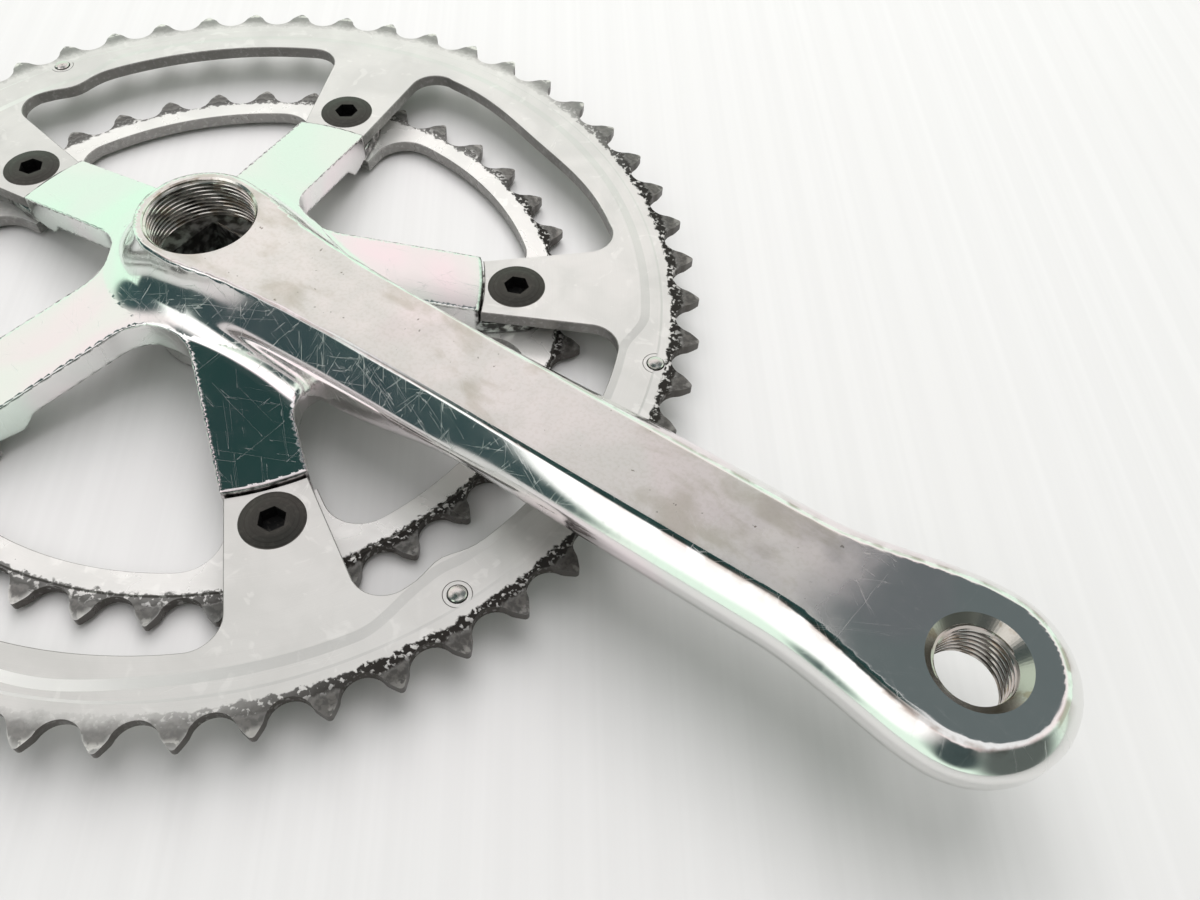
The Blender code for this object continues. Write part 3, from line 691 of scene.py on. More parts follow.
def inside_outline(radius, tab_end, tab_half_angle, fillet, swellings=()):
    """The ring's inside edge: five tabs that reach in to the bolt circle, joined by fillets."""
    centre_radius = radius - fillet
    plain_start = tab_half_angle + math.degrees(math.asin(fillet / centre_radius))
    plain_span = 360.0 / BOLT_COUNT - 2.0 * plain_start
    outline = []
    for index in range(BOLT_COUNT):
        tab = 180.0 + 360.0 / BOLT_COUNT * index
        leave = tab + plain_start
        arrive = leave + plain_span
        side = tab + 360.0 / BOLT_COUNT - tab_half_angle
        outline += arc_points((0, 0), tab_end, tab - tab_half_angle, tab + tab_half_angle, TAB_POINTS)
        fillet_start = tab + tab_half_angle - 90.0
        outline += arc_points(polar(centre_radius, leave), fillet, fillet_start, leave, FILLET_POINTS)
        for i in range(1, INSIDE_STEPS):
            angle = leave + plain_span * i / INSIDE_STEPS
            outline.append(polar(radius - swelling(angle, swellings), angle))
        outline += arc_points(polar(centre_radius, arrive), fillet, arrive, side + 90.0, FILLET_POINTS)
    return outline


def hole_outline(centre, radius, count):
    return arc_points(centre, radius, 0.0, 360.0 * (count - 1) / count, count)


def plate(name, outlines, z_low, z_high, materials):
    """A flat plate with broken edges, from closed outlines of which all but the first are holes."""
    data = bpy.data.curves.new(name, "CURVE")
    data.dimensions = "2D"
    data.fill_mode = "BOTH"
    data.extrude = (0.5 * (z_high - z_low) - EDGE_BREAK) * MM
    data.bevel_depth = EDGE_BREAK * MM
    data.bevel_resolution = 0
    data.offset = -EDGE_BREAK * MM
    for outline in outlines:
        spline = data.splines.new("POLY")
        spline.points.add(len(outline) - 1)
        for point, (x, y) in zip(spline.points, outline):
            point.co = (x * MM, y * MM, 0.0, 1.0)
        spline.use_cyclic_u = True
    curve = linked(name + "_curve", data)
    mesh = evaluated_mesh(curve)
    bpy.data.objects.remove(curve, do_unlink=True)
    mesh.transform(Matrix.Translation((0.0, 0.0, 0.5 * (z_low + z_high) * MM)))
    weld(mesh)
    mesh.materials.clear()
    return placed(name, mesh, materials)


def weld(mesh):
    work = bmesh.new()
    work.from_mesh(mesh)
    bmesh.ops.remove_doubles(work, verts=work.verts, dist=0.002 * MM)
    bmesh.ops.recalc_face_normals(work, faces=work.faces)
    work.to_mesh(mesh)
    work.free()


def band_radius(degrees):
    """Where the outer ring's bevel band starts; it swings inwards past the shift pins."""
    radius = BEVEL_BAND_RADIUS
    for (leave_start, leave_end), (back_start, back_end) in BEVEL_BAND_DIPS:
        turn = (degrees - leave_start + 90.0) % 360.0 - 90.0 + leave_start
        inside = float(smooth_step(leave_start, leave_end, turn))
        inside *= 1.0 - float(smooth_step(back_start, back_end, turn))
        radius -= BEVEL_BAND_DIP * inside
    return radius + swelling(degrees, BEVEL_BAND_SWELLINGS)


def front_section(rim_points, ring):
    """A cutter's section: down at the first rim point, along the rim, and out over the teeth."""
    tooth = ring["tooth_z"][1]
    chamfered = tooth - TOOTH_CHAMFER
    start, end = ring["chamfer"]
    beyond = ring["beyond"]
    above = ring["above"]
    over_teeth = [(start, tooth), (end, chamfered), (beyond, chamfered), (beyond, above)]
    return [(rim_points[0][0], above), *rim_points, *over_teeth]


def outer_front_section(angle):
    start = band_radius(math.degrees(angle))
    rim_start, rim_end = OUTER_RIM_STEP
    rim_points = [
        (start, OUTER_RING["z"][1]), (start + BEVEL_BAND_WIDTH, OUTER_RIM_Z), (rim_start, OUTER_RIM_Z),
        (rim_end, OUTER_RING["tooth_z"][1]),
    ]
    return front_section(rim_points, OUTER_RING)


def inner_front_section(angle):
    start, end = INNER_RIM_STEP
    return front_section([(start, INNER_RING["z"][1]), (end, INNER_RING["tooth_z"][1])], INNER_RING)


def back_section(ring):
    start = ring["back_start"]
    tooth = ring["tooth_z"][0]
    chamfered = tooth + TOOTH_CHAMFER
    bottom = ring["z"][0] - BACK_CUTTER_DROP
    chamfer_start, chamfer_end = BACK_CHAMFER_REACH
    return [
        (start, bottom), (start, tooth), (start + chamfer_start, tooth), (start + chamfer_end, chamfered),
        (start + BACK_CUTTER_REACH, chamfered), (start + BACK_CUTTER_REACH, bottom),
    ]


def mark_cutter(centre, materials):
    """A cutter for the fine round mark about a riveted pin."""
    radius = PIN_MARK["radius"]
    half_width = PIN_MARK["half_width"]
    top = OUTER_RIM_Z + 0.2
    bottom = OUTER_RIM_Z - PIN_MARK["depth"]
    section = [(radius - half_width, top), (radius, bottom), (radius + half_width, top)]
    ring = swept_ring("mark", lambda angle: section, PIN_MARK["steps"], materials)
    ring.data.transform(Matrix.Translation((centre[0] * MM, centre[1] * MM, 0.0)))
    return ring


def make_chainring(name, node, ring, inside, front, recess, pins=(), marks=()):
    """A ring cut from a plate: its toothed band thinned on both faces, and a recess at each bolt."""
    materials = [MATERIALS[node]]
    outlines = [tooth_outline(ring["teeth"]), inside]
    outlines += [hole_outline(centre, SLEEVE_HOLE_RADIUS, SLEEVE_HOLE_POINTS) for centre in BOLT_CENTRES]
    outlines += [hole_outline(centre, PIN_HOLE_RADIUS, PIN_HOLE_POINTS) for centre in pins]
    solid = plate(name, outlines, *ring["z"], materials)
    back = back_section(ring)
    cutters = [swept_ring("front", front, ring["front_steps"], materials)]
    cutters.append(swept_ring("back", lambda angle: back, BACK_STEPS, materials))
    cutters += [turned("recess", recess, RECESS_STEPS, centre, materials) for centre in BOLT_CENTRES]
    cutters += [mark_cutter(centre, materials) for centre in marks]
    cut(solid, *cutters)
    shade(solid, RING_SHARP_ANGLE)
    stand_in(solid, "crankset", node)


def make_chainrings():
    pins = [polar(radius, angle) for angle, radius in SHIFT_PINS]
    make_chainring(
        "outer_chainring_52", "outer_chainring", OUTER_RING,
        inside_outline(swellings=OUTER_SWELLINGS, **OUTER_INSIDE), outer_front_section, HEAD_RECESS,
        [*pins, DROP_PIN_CENTRE], pins)
    make_chainring(
        "inner_chainring_39", "inner_chainring", INNER_RING,
        inside_outline(**INNER_INSIDE), inner_front_section, NUT_RECESS)


# ---- fasteners and pins

# Sections as (radius, z) points about each piece's own axis.
BOLT_PROFILE = [
    (0.0, 3.4), (3.3, 3.4), (3.8, 3.9), (3.8, 9.5), (6.3, 9.5), (6.6, 9.8), (6.6, 10.2), (6.3, 10.42),
    (4.3, 10.7), (3.9, 10.75), (0.0, 10.75),
]
NUT_SECTION = [
    (4.4, 0.75), (6.3, 0.75), (6.6, 1.05), (6.6, 1.8), (4.9, 1.8), (4.9, 8.8), (4.7, 9.1), (4.1, 9.1),
    (4.1, 1.05),
]
SHIFT_PIN_PROFILE = [
    (0.0, 5.4), (2.5, 5.4), (2.9, 5.8), (2.9, 6.6), (2.5, 7.0), (1.75, 7.0), (1.75, 10.12), (1.55, 10.36),
    (1.05, 10.52), (0.5, 10.6), (0.0, 10.62),
]
DROP_PIN_PROFILE = [
    (0.0, 7.1), (1.7, 7.1), (1.7, 10.45), (3.0, 10.45), (3.0, 11.8), (2.8, 12.0), (2.5, 12.0), (2.5, 16.2),
    (2.2, 16.9), (1.6, 17.2), (0.0, 17.2),
]
FASTENER_STEPS = 96
FASTENER_SHARP_ANGLE = 20.0
PIN_STEPS = 64
PIN_SHARP_ANGLE = 30.0
BOLT_TOP_Z = 10.75
HEX_KEY = 5.0
HEX_DEPTH = 3.2
HEX_CONE = (
    (0.0, BOLT_TOP_Z - 0.75), (2.5, BOLT_TOP_Z - 0.75), (3.25, BOLT_TOP_Z), (3.25 + 0.6, BOLT_TOP_Z + 0.6),
    (0.0, BOLT_TOP_Z + 0.6),
)
HEX_CONE_STEPS = 48
BOLT_TURNS_DEG = (12.0, 37.0, 24.0, 5.0, 48.0)
NUT_FLOOR_Z = 0.75
NUT_SLOT_HALF_WIDTH = 1.0
NUT_SLOT_DEPTH = 0.5
NUT_SLOT_STRETCH = 8.0


def set_down(obj, centre, turn_deg=0.0):
    obj.location = (centre[0] * MM, centre[1] * MM, 0.0)
    obj.rotation_euler.z = math.radians(turn_deg)
    bpy.context.view_layer.update()


def prism_cutter(name, sides, radius, z_low, z_high, materials):
    low = [(*polar(radius, 360.0 * i / sides), z_low) for i in range(sides)]
    high = [(x, y, z_high) for x, y, z in low]
    faces = [tuple(reversed(range(sides))), tuple(range(sides, 2 * sides))]
    for i in range(sides):
        k = (i + 1) % sides
        faces.append((i, k, sides + k, sides + i))
    return mesh_object(name, low + high, faces, materials)


def make_bolt(index, centre):
    socket = [MATERIALS["socket"]]
    materials = [MATERIALS["bolt"], *socket]
    bolt = turned(f"chainring_bolt_{index}_head", BOLT_PROFILE, FASTENER_STEPS, materials=materials)
    radius = HEX_KEY / math.sqrt(3.0)
    hexagon = prism_cutter("hexagon", 6, radius, BOLT_TOP_Z - HEX_DEPTH, BOLT_TOP_Z + 1.0, socket)
    cut(bolt, hexagon, turned("mouth", HEX_CONE, HEX_CONE_STEPS, materials=socket))
    shade(bolt, FASTENER_SHARP_ANGLE)
    set_down(bolt, centre, BOLT_TURNS_DEG[index - 1])
    stand_in(bolt, f"bolt_{index}", f"chainring_bolt_{index}")


def make_nut(index, centre):
    materials = [MATERIALS["nut"]]
    name = f"chainring_nut_{index}_sleeve"
    nut = swept_ring(name, lambda angle: NUT_SECTION, FASTENER_STEPS, materials)
    radius = NUT_SLOT_HALF_WIDTH * math.sqrt(2.0)
    slot = prism_cutter("slot", 4, radius, NUT_FLOOR_Z - 1.0, NUT_FLOOR_Z + NUT_SLOT_DEPTH, materials)
    slot.data.transform(Matrix.Rotation(math.radians(45.0), 4, "Z"))
    slot.data.transform(Matrix.Scale(NUT_SLOT_STRETCH, 4, (1.0, 0.0, 0.0)))
    cut(nut, slot)
    shade(nut, FASTENER_SHARP_ANGLE)
    set_down(nut, centre, BOLT_TURNS_DEG[-index])
    stand_in(nut, f"nut_{index}", f"chainring_nut_{index}")


def make_pin(name, profile, centre, node):
    pin = turned(name, profile, PIN_STEPS, materials=[MATERIALS["pin"]])
    shade(pin, PIN_SHARP_ANGLE)
    set_down(pin, centre)
    stand_in(pin, "crankset", node)


# ---- materials


class Nodes:
    """Short calls for the nodes that a material, or the world, is made from."""

    def __init__(self, tree):
        self.tree = tree

    def add(self, kind, *values, **settings):
        """A new node with its first inputs fed; a setting in capitals is an input's name."""
        node = self.tree.nodes.new("ShaderNode" + kind)
        for setting, value in settings.items():
            if setting[0].isupper():
                self.feed(node.inputs[setting], value)
            else:
                setattr(node, setting, value)
        for socket, value in zip(node.inputs, values):
            self.feed(socket, value)
        return node

    def feed(self, socket, value):
        if isinstance(value, bpy.types.NodeSocket):
            self.tree.links.new(value, socket)
        elif socket.type == "RGBA":
            socket.default_value = (*value, 1.0)
        else:
            socket.default_value = value

    def math(self, operation, *values):
        return self.add("Math", *values, operation=operation).outputs[0]

    def vector(self, operation, *values):
        return self.add("VectorMath", *values, operation=operation).outputs[0]

    def chained(self, operation, values):
        result = values[0]
        for value in values[1:]:
            result = self.math(operation, result, value)
        return result

    def product(self, *values):
        return self.chained("MULTIPLY", values)

    def total(self, *values):
        return self.chained("ADD", values)

    def most(self, values):
        return self.chained("MAXIMUM", values)

    def opposite(self, share):
        return self.math("SUBTRACT", 1.0, share)

    def distance(self, x, y):
        return self.math("SQRT", self.total(self.product(x, x), self.product(y, y)))

    def step(self, value, low, high, start=0.0, end=1.0):
        """A smooth change from start to end as value goes from low to high."""
        node = self.add("MapRange", value, low, high, start, end, interpolation_type="SMOOTHSTEP")
        return node.outputs[0]

    def mix(self, share, first, second):
        """A colour between two, by share."""
        node = self.add("Mix", share, data_type="RGBA")
        self.feed(node.inputs[6], first)
        self.feed(node.inputs[7], second)
        return node.outputs[2]

    def blend(self, share, first, second):
        """A number between two, by share."""
        node = self.add("Mix", share, data_type="FLOAT")
        self.feed(node.inputs[2], first)
        self.feed(node.inputs[3], second)
        return node.outputs[0]


class Look(Nodes):
    """A Principled material whose layers are drawn in object space, in millimetres."""

    def __init__(self, name, metallic, roughness):
        self.material = bpy.data.materials.new(name)
        self.material.use_nodes = True
        super().__init__(self.material.node_tree)
        self.shader = self.tree.nodes["Principled BSDF"]
        self.shader.inputs["Metallic"].default_value = metallic
        self.shader.inputs["Roughness"].default_value = roughness
        coordinates = self.add("TexCoord")
        place = coordinates.outputs["Object"]
        self.place = self.add("VectorMath", place, operation="SCALE", Scale=1.0 / MM).outputs[0]
        self.x, self.y, self.z = self.split(self.place)
        self.facing = self.split(coordinates.outputs["Normal"])
        self.up = self.facing[2]
        self.radius = self.distance(self.x, self.y)

    def split(self, vector):
        node = self.add("SeparateXYZ", vector)
        return node.outputs[0], node.outputs[1], node.outputs[2]

    def from_eye(self):
        """A point's X and Y from the middle of the pedal eye, and its distance from there."""
        x, y, _ = self.split(self.vector("SUBTRACT", self.place, (ARM_LENGTH, 0.0, 0.0)))
        return x, y, self.distance(x, y)

    def noise(self, size, detail=2.0, vector=None, stretch=None, distortion=0.0):
        """Noise whose features are about size millimetres."""
        vector = vector or self.place
        if stretch:
            vector = self.vector("MULTIPLY", vector, stretch)
        node = self.add("TexNoise", vector, Scale=1.0 / size, Detail=detail, Distortion=distortion)
        return node.outputs["Fac"]

    def patches(self, size, detail, low, high, start=0.0, end=1.0, distortion=0.0):
        """Patches of noise, from start between them to end on them."""
        return self.step(self.noise(size, detail, distortion=distortion), low, high, start, end)

    def scratches(self, axis, angles, spacing, length, width, share):
        """Thin broken lines at some angles in the plane across an axis; 1 on a line."""
        lines = [self.scratch_lines(axis, angle, spacing, length, width, share) for angle in angles]
        return self.most(lines)

    def scratch_lines(self, axis, degrees, spacing, length, width, share):
        stretch = {"Y": (1.0 / length, 0.05, 1.0 / spacing), "Z": (1.0 / length, 1.0 / spacing, 0.05)}[axis]
        angle = math.radians(degrees)
        rotated = self.add("VectorRotate", self.place, rotation_type=axis + "_AXIS", Angle=angle).outputs[0]
        place = self.vector("MULTIPLY", rotated, stretch)
        place = self.vector("ADD", place, (degrees * 0.37, degrees * 0.11, degrees * 0.23))
        away = self.math("ABSOLUTE", self.math("SUBTRACT", self.noise(1.0, 1.0, place), 0.5))
        line = self.step(away, width * 0.35, width, 1.0, 0.0)
        gate = self.step(self.noise(2.2, 1.0, place), 1.0 - share - 0.04, 1.0 - share + 0.04)
        return self.product(line, gate)

    def bump(self, height, depth, strength):
        """Depth is the height of the relief in millimetres."""
        node = self.add("Bump", Strength=strength, Distance=depth * MM, Height=height)
        self.feed(self.shader.inputs["Normal"], node.outputs[0])

    def paint(self, color, *shares):
        """Lays a colour over the base colour, as far as the product of its shares says."""
        self.base = self.mix(self.product(*shares), self.base, color)

    def finish(self, roughness):
        self.feed(self.shader.inputs["Base Color"], self.base)
        self.feed(self.shader.inputs["Roughness"], roughness)
        return self.material


ALLOY = (0.83, 0.825, 0.81)
MINT = (0.72, 0.95, 0.80)
PINK = (0.97, 0.78, 0.84)
FACE_ALLOY = (0.92, 0.84, 0.82)
FACE_EDGE_DARK = (0.40, 0.33, 0.29)
BRIGHT_SCRATCH = (0.90, 0.90, 0.89)
STAIN = (0.56, 0.51, 0.43)
BORE_GRIME_AND_SHADE = (0.05, 0.043, 0.036)
GRIME_AND_SHADE = (0.018, 0.015, 0.013)
OLD_OIL = (0.16, 0.12, 0.09)
HUB_THREAD = (0.80, 0.77, 0.72)
EYE_THREAD = (0.50, 0.47, 0.43)
THREAD_DIRT_AND_SHADE = (0.030, 0.024, 0.019)
THREAD_RUST = (0.30, 0.22, 0.14)
SOIL = (0.036, 0.033, 0.030)
WALL_SHADE = (0.07, 0.062, 0.055)
WORN_TIP = (0.86, 0.83, 0.78)
BEVEL_GLINT = (1.0, 0.99, 0.96)
OUTER_ALLOY = (0.61, 0.598, 0.58)
INNER_ALLOY = (0.76, 0.75, 0.73)
BLACKED = ((0.060, 0.057, 0.052), (0.090, 0.087, 0.080))
BLACKED_DUST = (0.22, 0.20, 0.18)
BLACKED_EDGE = (0.20, 0.19, 0.18)
SOCKET_BLACK = (0.012, 0.012, 0.012)
SOCKET_WEAR = (0.06, 0.055, 0.05)
NUT_STEEL = (0.60, 0.59, 0.57)
PIN_STEEL = (0.72, 0.70, 0.67)
BOARD = ((0.61, 0.605, 0.603), (0.635, 0.63, 0.628))
BOARD_CLOUD = (0.605, 0.597, 0.592)

RING_METAL_SHARE = 0.45
DIRTY_WAY = (0.97, 0.24)
# The direction in the plane towards which the bevel band gets its painted highlight.
GLINT_WAY = (-0.45, -0.89)
FACE_START_Z = (28.5, 29.5)
EYE_MIRROR_X = (152.0, 170.0)
FLOOR_RIB_ACROSS = (0.807, 0.590)
FLOOR_RIB_PITCH = 9.0


def scaled_color(color, share):
    return tuple(min(1.0, share * c) for c in color)


def arm_look():
    look = Look("polished_crank_alloy", 1.0, 0.12)
    up = look.up
    # The flat face is satin, and turns to a mirror at the pedal eye. The flanks are mirrors.
    on_top = look.step(look.z, *FACE_START_Z)
    face = look.product(look.step(up, 0.985, 0.996), on_top)
    wander = look.product(look.noise(22.0, 1.0), 22.0)
    mirror = look.step(look.total(look.x, wander), *EYE_MIRROR_X)
    satin = look.product(face, look.opposite(mirror))
    on_side = look.step(look.math("ABSOLUTE", look.facing[1]), 0.45, 0.65)
    near_hub = look.step(look.x, 50.0, 120.0, 1.0, 0.3)

    side = look.scratches("Y", (18.0, 52.0, 71.0, 112.0, 156.0), 0.36, 8.0, 0.014, 0.36)
    side = look.product(side, on_side, near_hub)
    top = look.scratches("Z", (8.0, 41.0, 97.0, 151.0), 0.5, 15.0, 0.012, 0.36)
    top = look.product(top, look.opposite(on_side))
    top = look.product(top, look.blend(face, 0.6, look.blend(mirror, 0.6, 0.3)))
    lines = look.most((side, top))
    haze = look.noise(9.0, 4.0, distortion=0.4)
    scuffed = look.product(look.step(haze, 0.42, 0.68), near_hub, on_side)

    # Tints, stains, pits and the dark line along the face's edge.
    tint = look.noise(34.0, 1.0, distortion=0.8)
    minty = look.product(look.step(tint, 0.34, 0.50, 0.42, 0.0), look.step(look.x, 60.0, 85.0, 1.0, 0.0))
    minty = look.product(minty, look.opposite(satin))
    look.base = look.mix(minty, ALLOY, MINT)
    look.paint(PINK, look.step(tint, 0.50, 0.64, 0.0, 0.36))
    look.paint(FACE_ALLOY, satin, 0.5)
    streaky = look.noise(7.0, 7.0, stretch=(0.5, 1.0, 1.0), distortion=0.35)
    look.paint(STAIN, look.step(streaky, 0.48, 0.66, 0.0, 0.55), satin)
    grain = look.patches(0.7, 3.0, 0.45, 0.65, 0.0, 0.14)
    look.paint(STAIN, grain, satin)
    pits = look.patches(1.3, 3.0, 0.71, 0.75)
    look.paint(OLD_OIL, pits, satin, 0.75)
    # Darker in patches along the face's rounded edge, more so towards the eye.
    edge = look.product(look.step(up, 0.70, 0.86), look.step(up, 0.93, 0.985, 1.0, 0.0))
    edge = look.product(edge, on_top, look.patches(5.0, 3.0, 0.40, 0.6))
    edge_share = look.step(look.x, 100.0, 140.0, 0.5, 0.85)
    look.paint(FACE_EDGE_DARK, edge, edge_share)
    look.paint(BRIGHT_SCRATCH, lines, 0.35)

    # Grime with painted shade in the bore and in the corner of the step where the rings sit, and oil
    # underneath.
    # Painted shade with grime inside the bore, below its mouth.
    in_bore = look.step(look.radius, 11.5, 11.9, 1.0, 0.0)
    bore = look.product(in_bore, look.step(look.z, 29.6, 30.1, 1.0, 0.0))
    look.paint(BORE_GRIME_AND_SHADE, bore, look.patches(2.2, 4.0, 0.35, 0.6, 0.3, 0.9))
    # Painted shade with grime in the corner of the step where the rings sit.
    step_side = look.product(look.step(look.radius, 56.2, 57.0), look.step(look.z, 11.0, 11.6, 1.0, 0.0))
    look.paint(GRIME_AND_SHADE, step_side, look.patches(2.0, 3.0, 0.40, 0.60, 0.35, 0.95))
    under = look.step(up, -0.9, -0.5, 0.5, 0.0)
    look.paint(OLD_OIL, under, look.patches(6.0, 4.0, 0.40, 0.62))

    rough = look.blend(satin, 0.10, look.step(haze, 0.35, 0.7, 0.34, 0.46))
    rough = look.total(rough, look.product(scuffed, 0.05))
    rough = look.total(rough, look.product(look.patches(3.0, 4.0, 0.4, 0.7), 0.03))
    rough = look.blend(lines, rough, 0.5)
    rough = look.blend(bore, rough, 0.45)

    # Brushed rings round the eye, which turn to rays past its middle, and the relief of it all.
    eye_x, eye_y, eye_radius = look.from_eye()
    rings = look.noise(0.5, 1.0, look.total(eye_radius, look.product(look.noise(3.0, 1.0), 1.5)))
    rays = look.noise(0.035, 1.0, look.math("ARCTAN2", eye_y, eye_x))
    brushed = look.blend(look.step(look.x, 174.0, 178.0), rings, rays)
    relief = look.total(look.product(lines, -0.35), look.product(brushed, look.product(face, mirror), 0.9))
    relief = look.total(relief, look.product(look.noise(0.35, 2.0), satin, 0.35))
    relief = look.total(relief, look.product(look.noise(14.0, 1.0), 2.0))
    look.bump(relief, 0.012, 0.8)
    return look.finish(rough)


def thread_look():
    """Threads with dirt and painted shade in the grooves: the extractor thread is cleaner than the pedal
    thread.
    """
    look = Look("worn_thread", 1.0, 0.28)
    hub_crest = EXTRACTOR_THREAD["minor"]
    eye_crest = PEDAL_THREAD["minor"]
    eye_radius = look.from_eye()[2]
    at_eye = look.step(look.x, 80.0, 90.0)
    hub_groove = look.step(look.radius, hub_crest + 0.1, hub_crest + 0.4)
    eye_groove = look.step(eye_radius, eye_crest + 0.1, eye_crest + 0.45)
    groove = look.blend(at_eye, hub_groove, eye_groove)
    groove = look.product(groove, look.step(look.z, 29.4, 29.9, 1.0, 0.0))
    cleaned = look.patches(4.0, 3.0, 0.40, 0.60, 0.45, 1.0)
    look.base = look.mix(at_eye, HUB_THREAD, EYE_THREAD)
    # Painted shade with dirt in the grooves below the mouth, cleared in patches.
    look.paint(THREAD_DIRT_AND_SHADE, groove, cleaned, 0.92)
    look.paint(THREAD_RUST, look.patches(3.0, 3.0, 0.52, 0.66, 0.0, 0.55))
    look.bump(look.noise(0.5, 3.0), 0.015, 0.5)
    return look.finish(look.blend(groove, 0.24, 0.55))


def ring_look(name, alloy, roughness, rim, tooth_root, tip, grime_amount, brushed):
    """A chainring: smudged satin alloy, soiled teeth with worn tips; grime_amount is (least, most)."""
    look = Look(name, RING_METAL_SHARE, roughness)
    up = look.up
    flat = look.step(look.math("ABSOLUTE", up), 0.75, 0.9)
    smudge = look.noise(13.0, 5.0, distortion=0.6)
    look.base = look.mix(look.step(smudge, 0.35, 0.68, 0.0, 0.34), alloy, scaled_color(alloy, 0.72))
    marks = look.patches(5.0, 2.0, 0.60, 0.70, 0.0, 0.35, distortion=1.2)
    look.paint(scaled_color(alloy, 1.22), marks)
    turning = look.noise(0.32, 2.0, look.radius)
    look.paint(scaled_color(alloy, 0.8), look.step(turning, 0.4, 0.7, 0.0, brushed))
    lines = look.product(look.scratches("Z", (14.0, 77.0, 133.0), 1.4, 15.0, 0.010, 0.3), flat)
    look.paint(scaled_color(alloy, 1.3), lines, 0.35)

    # Soil over the teeth and a crust at their roots, both heaviest on the DIRTY_WAY side.
    specks = look.noise(1.0, 4.0, distortion=0.3)
    wobble = look.product(look.math("SUBTRACT", look.noise(1.8, 3.0), 0.5), 3.0)
    reach = look.total(look.radius, wobble)
    dirty_way = look.total(look.product(look.x, DIRTY_WAY[0]), look.product(look.y, DIRTY_WAY[1]))
    heavy = look.step(look.math("DIVIDE", dirty_way, look.radius), 0.30, 0.75, *grime_amount)
    soil = look.step(reach, tooth_root - 1.2, tooth_root + 2.4)
    soil = look.product(soil, look.blend(heavy, 0.66, 0.95))
    soil_color = look.mix(look.step(specks, 0.42, 0.6), SOIL, scaled_color(SOIL, 2.2))
    look.paint(soil_color, soil)
    crust_start = look.step(reach, tooth_root - 1.4, tooth_root - 0.9)
    crust = look.product(crust_start, look.step(reach, tooth_root + 0.9, tooth_root + 2.0, 1.0, 0.0))
    dirty = look.product(crust, look.step(specks, 0.38, 0.46), heavy)
    look.paint(GRIME_AND_SHADE, dirty)
    worn = look.product(look.step(look.radius, tip - 2.2, tip - 0.9), look.patches(1.5, 3.0, 0.45, 0.55))
    worn = look.product(worn, look.opposite(look.product(heavy, 0.8)))
    look.paint(WORN_TIP, worn, flat, 0.75)

    # Painted shade on the side walls, heavier between the teeth, a painted highlight with painted shade on
    # the bevel band, and an oily back.
    # Painted shade: every side wall is darkened, heavier between the teeth and mottled by the specks.
    wall = look.opposite(flat)
    at_teeth = look.step(look.radius, rim - 1.0, rim + 1.0)
    wall = look.product(wall, look.blend(at_teeth, 0.68, 0.88), look.step(specks, 0.3, 0.5, 0.75, 1.0))
    look.paint(WALL_SHADE, wall)
    # Painted light on the bevel band: painted shade on its side away from GLINT_WAY, a painted highlight on
    # its side towards GLINT_WAY.
    slope = look.product(look.step(up, 0.955, 0.975), look.step(up, 0.988, 0.996, 1.0, 0.0))
    glint_way = look.total(look.product(look.x, GLINT_WAY[0]), look.product(look.y, GLINT_WAY[1]))
    lower = look.step(glint_way, 10.0, 70.0)
    look.paint(scaled_color(alloy, 0.62), slope, look.blend(lower, 0.12, 0.0))
    look.paint(BEVEL_GLINT, slope, lower, 0.8)
    back = look.step(up, -0.9, -0.5, 1.0, 0.0)
    look.paint(OLD_OIL, back, look.patches(8.0, 5.0, 0.38, 0.6, 0.1, 0.65))

    rough = look.total(roughness, look.step(smudge, 0.3, 0.7, -0.05, 0.10))
    rough = look.blend(dirty, rough, 0.7)
    rough = look.blend(look.product(worn, flat), rough, 0.25)
    relief = look.total(look.product(dirty, 1.2), look.product(lines, -0.6))
    relief = look.total(relief, look.product(look.noise(0.4, 2.0), 0.5))
    look.bump(relief, 0.02, 0.8)
    return look.finish(rough)


def bolt_look():
    look = Look("blacked_steel", 1.0, 0.4)
    rings = look.noise(0.16, 2.0, look.radius)
    look.base = look.mix(look.step(rings, 0.35, 0.65), *BLACKED)
    look.paint(BLACKED_DUST, look.patches(1.2, 4.0, 0.52, 0.68), 0.10)
    edge = look.product(look.step(look.radius, 6.25, 6.4), look.step(look.z, 9.9, 10.1))
    look.paint(BLACKED_EDGE, edge, 0.5)
    look.bump(rings, 0.012, 0.7)
    return look.finish(look.step(rings, 0.3, 0.7, 0.34, 0.48))


def socket_look():
    look = Look("hex_socket_black", 0.6, 0.5)
    look.base = look.mix(look.patches(0.8, 3.0, 0.55, 0.7, 0.0, 0.5), SOCKET_BLACK, SOCKET_WEAR)
    look.bump(look.noise(0.4, 2.0), 0.02, 0.5)
    return look.finish(0.5)


def steel_look(name, color, roughness):
    look = Look(name, 1.0, roughness)
    rings = look.noise(0.2, 2.0, look.radius)
    grease = look.patches(2.4, 4.0, 0.48, 0.66)
    look.base = look.mix(look.step(rings, 0.3, 0.7, 0.0, 0.4), color, scaled_color(color, 0.75))
    look.paint(OLD_OIL, grease, 0.7)
    look.bump(rings, 0.01, 0.5)
    return look.finish(look.blend(grease, roughness, roughness + 0.25))


def floor_look():
    look = Look("ribbed_white_board", 0.0, 0.55)
    across_x, across_y = FLOOR_RIB_ACROSS
    across = look.total(look.product(look.x, across_x), look.product(look.y, across_y))
    wave = look.math("SINE", look.product(across, FULL_TURN / FLOOR_RIB_PITCH))
    streak = look.total(look.product(wave, 0.12), look.noise(3.0, 2.0, across))
    look.base = look.mix(look.step(streak, 0.2, 0.9), *BOARD)
    look.paint(BOARD_CLOUD, look.patches(90.0, 2.0, 0.35, 0.65, 0.0, 0.25))
    look.bump(look.noise(0.6, 2.0), 0.01, 0.3)
    look.shader.inputs["Specular IOR Level"].default_value = 0.25
    return look.finish(0.5)


# ---- room, camera and light

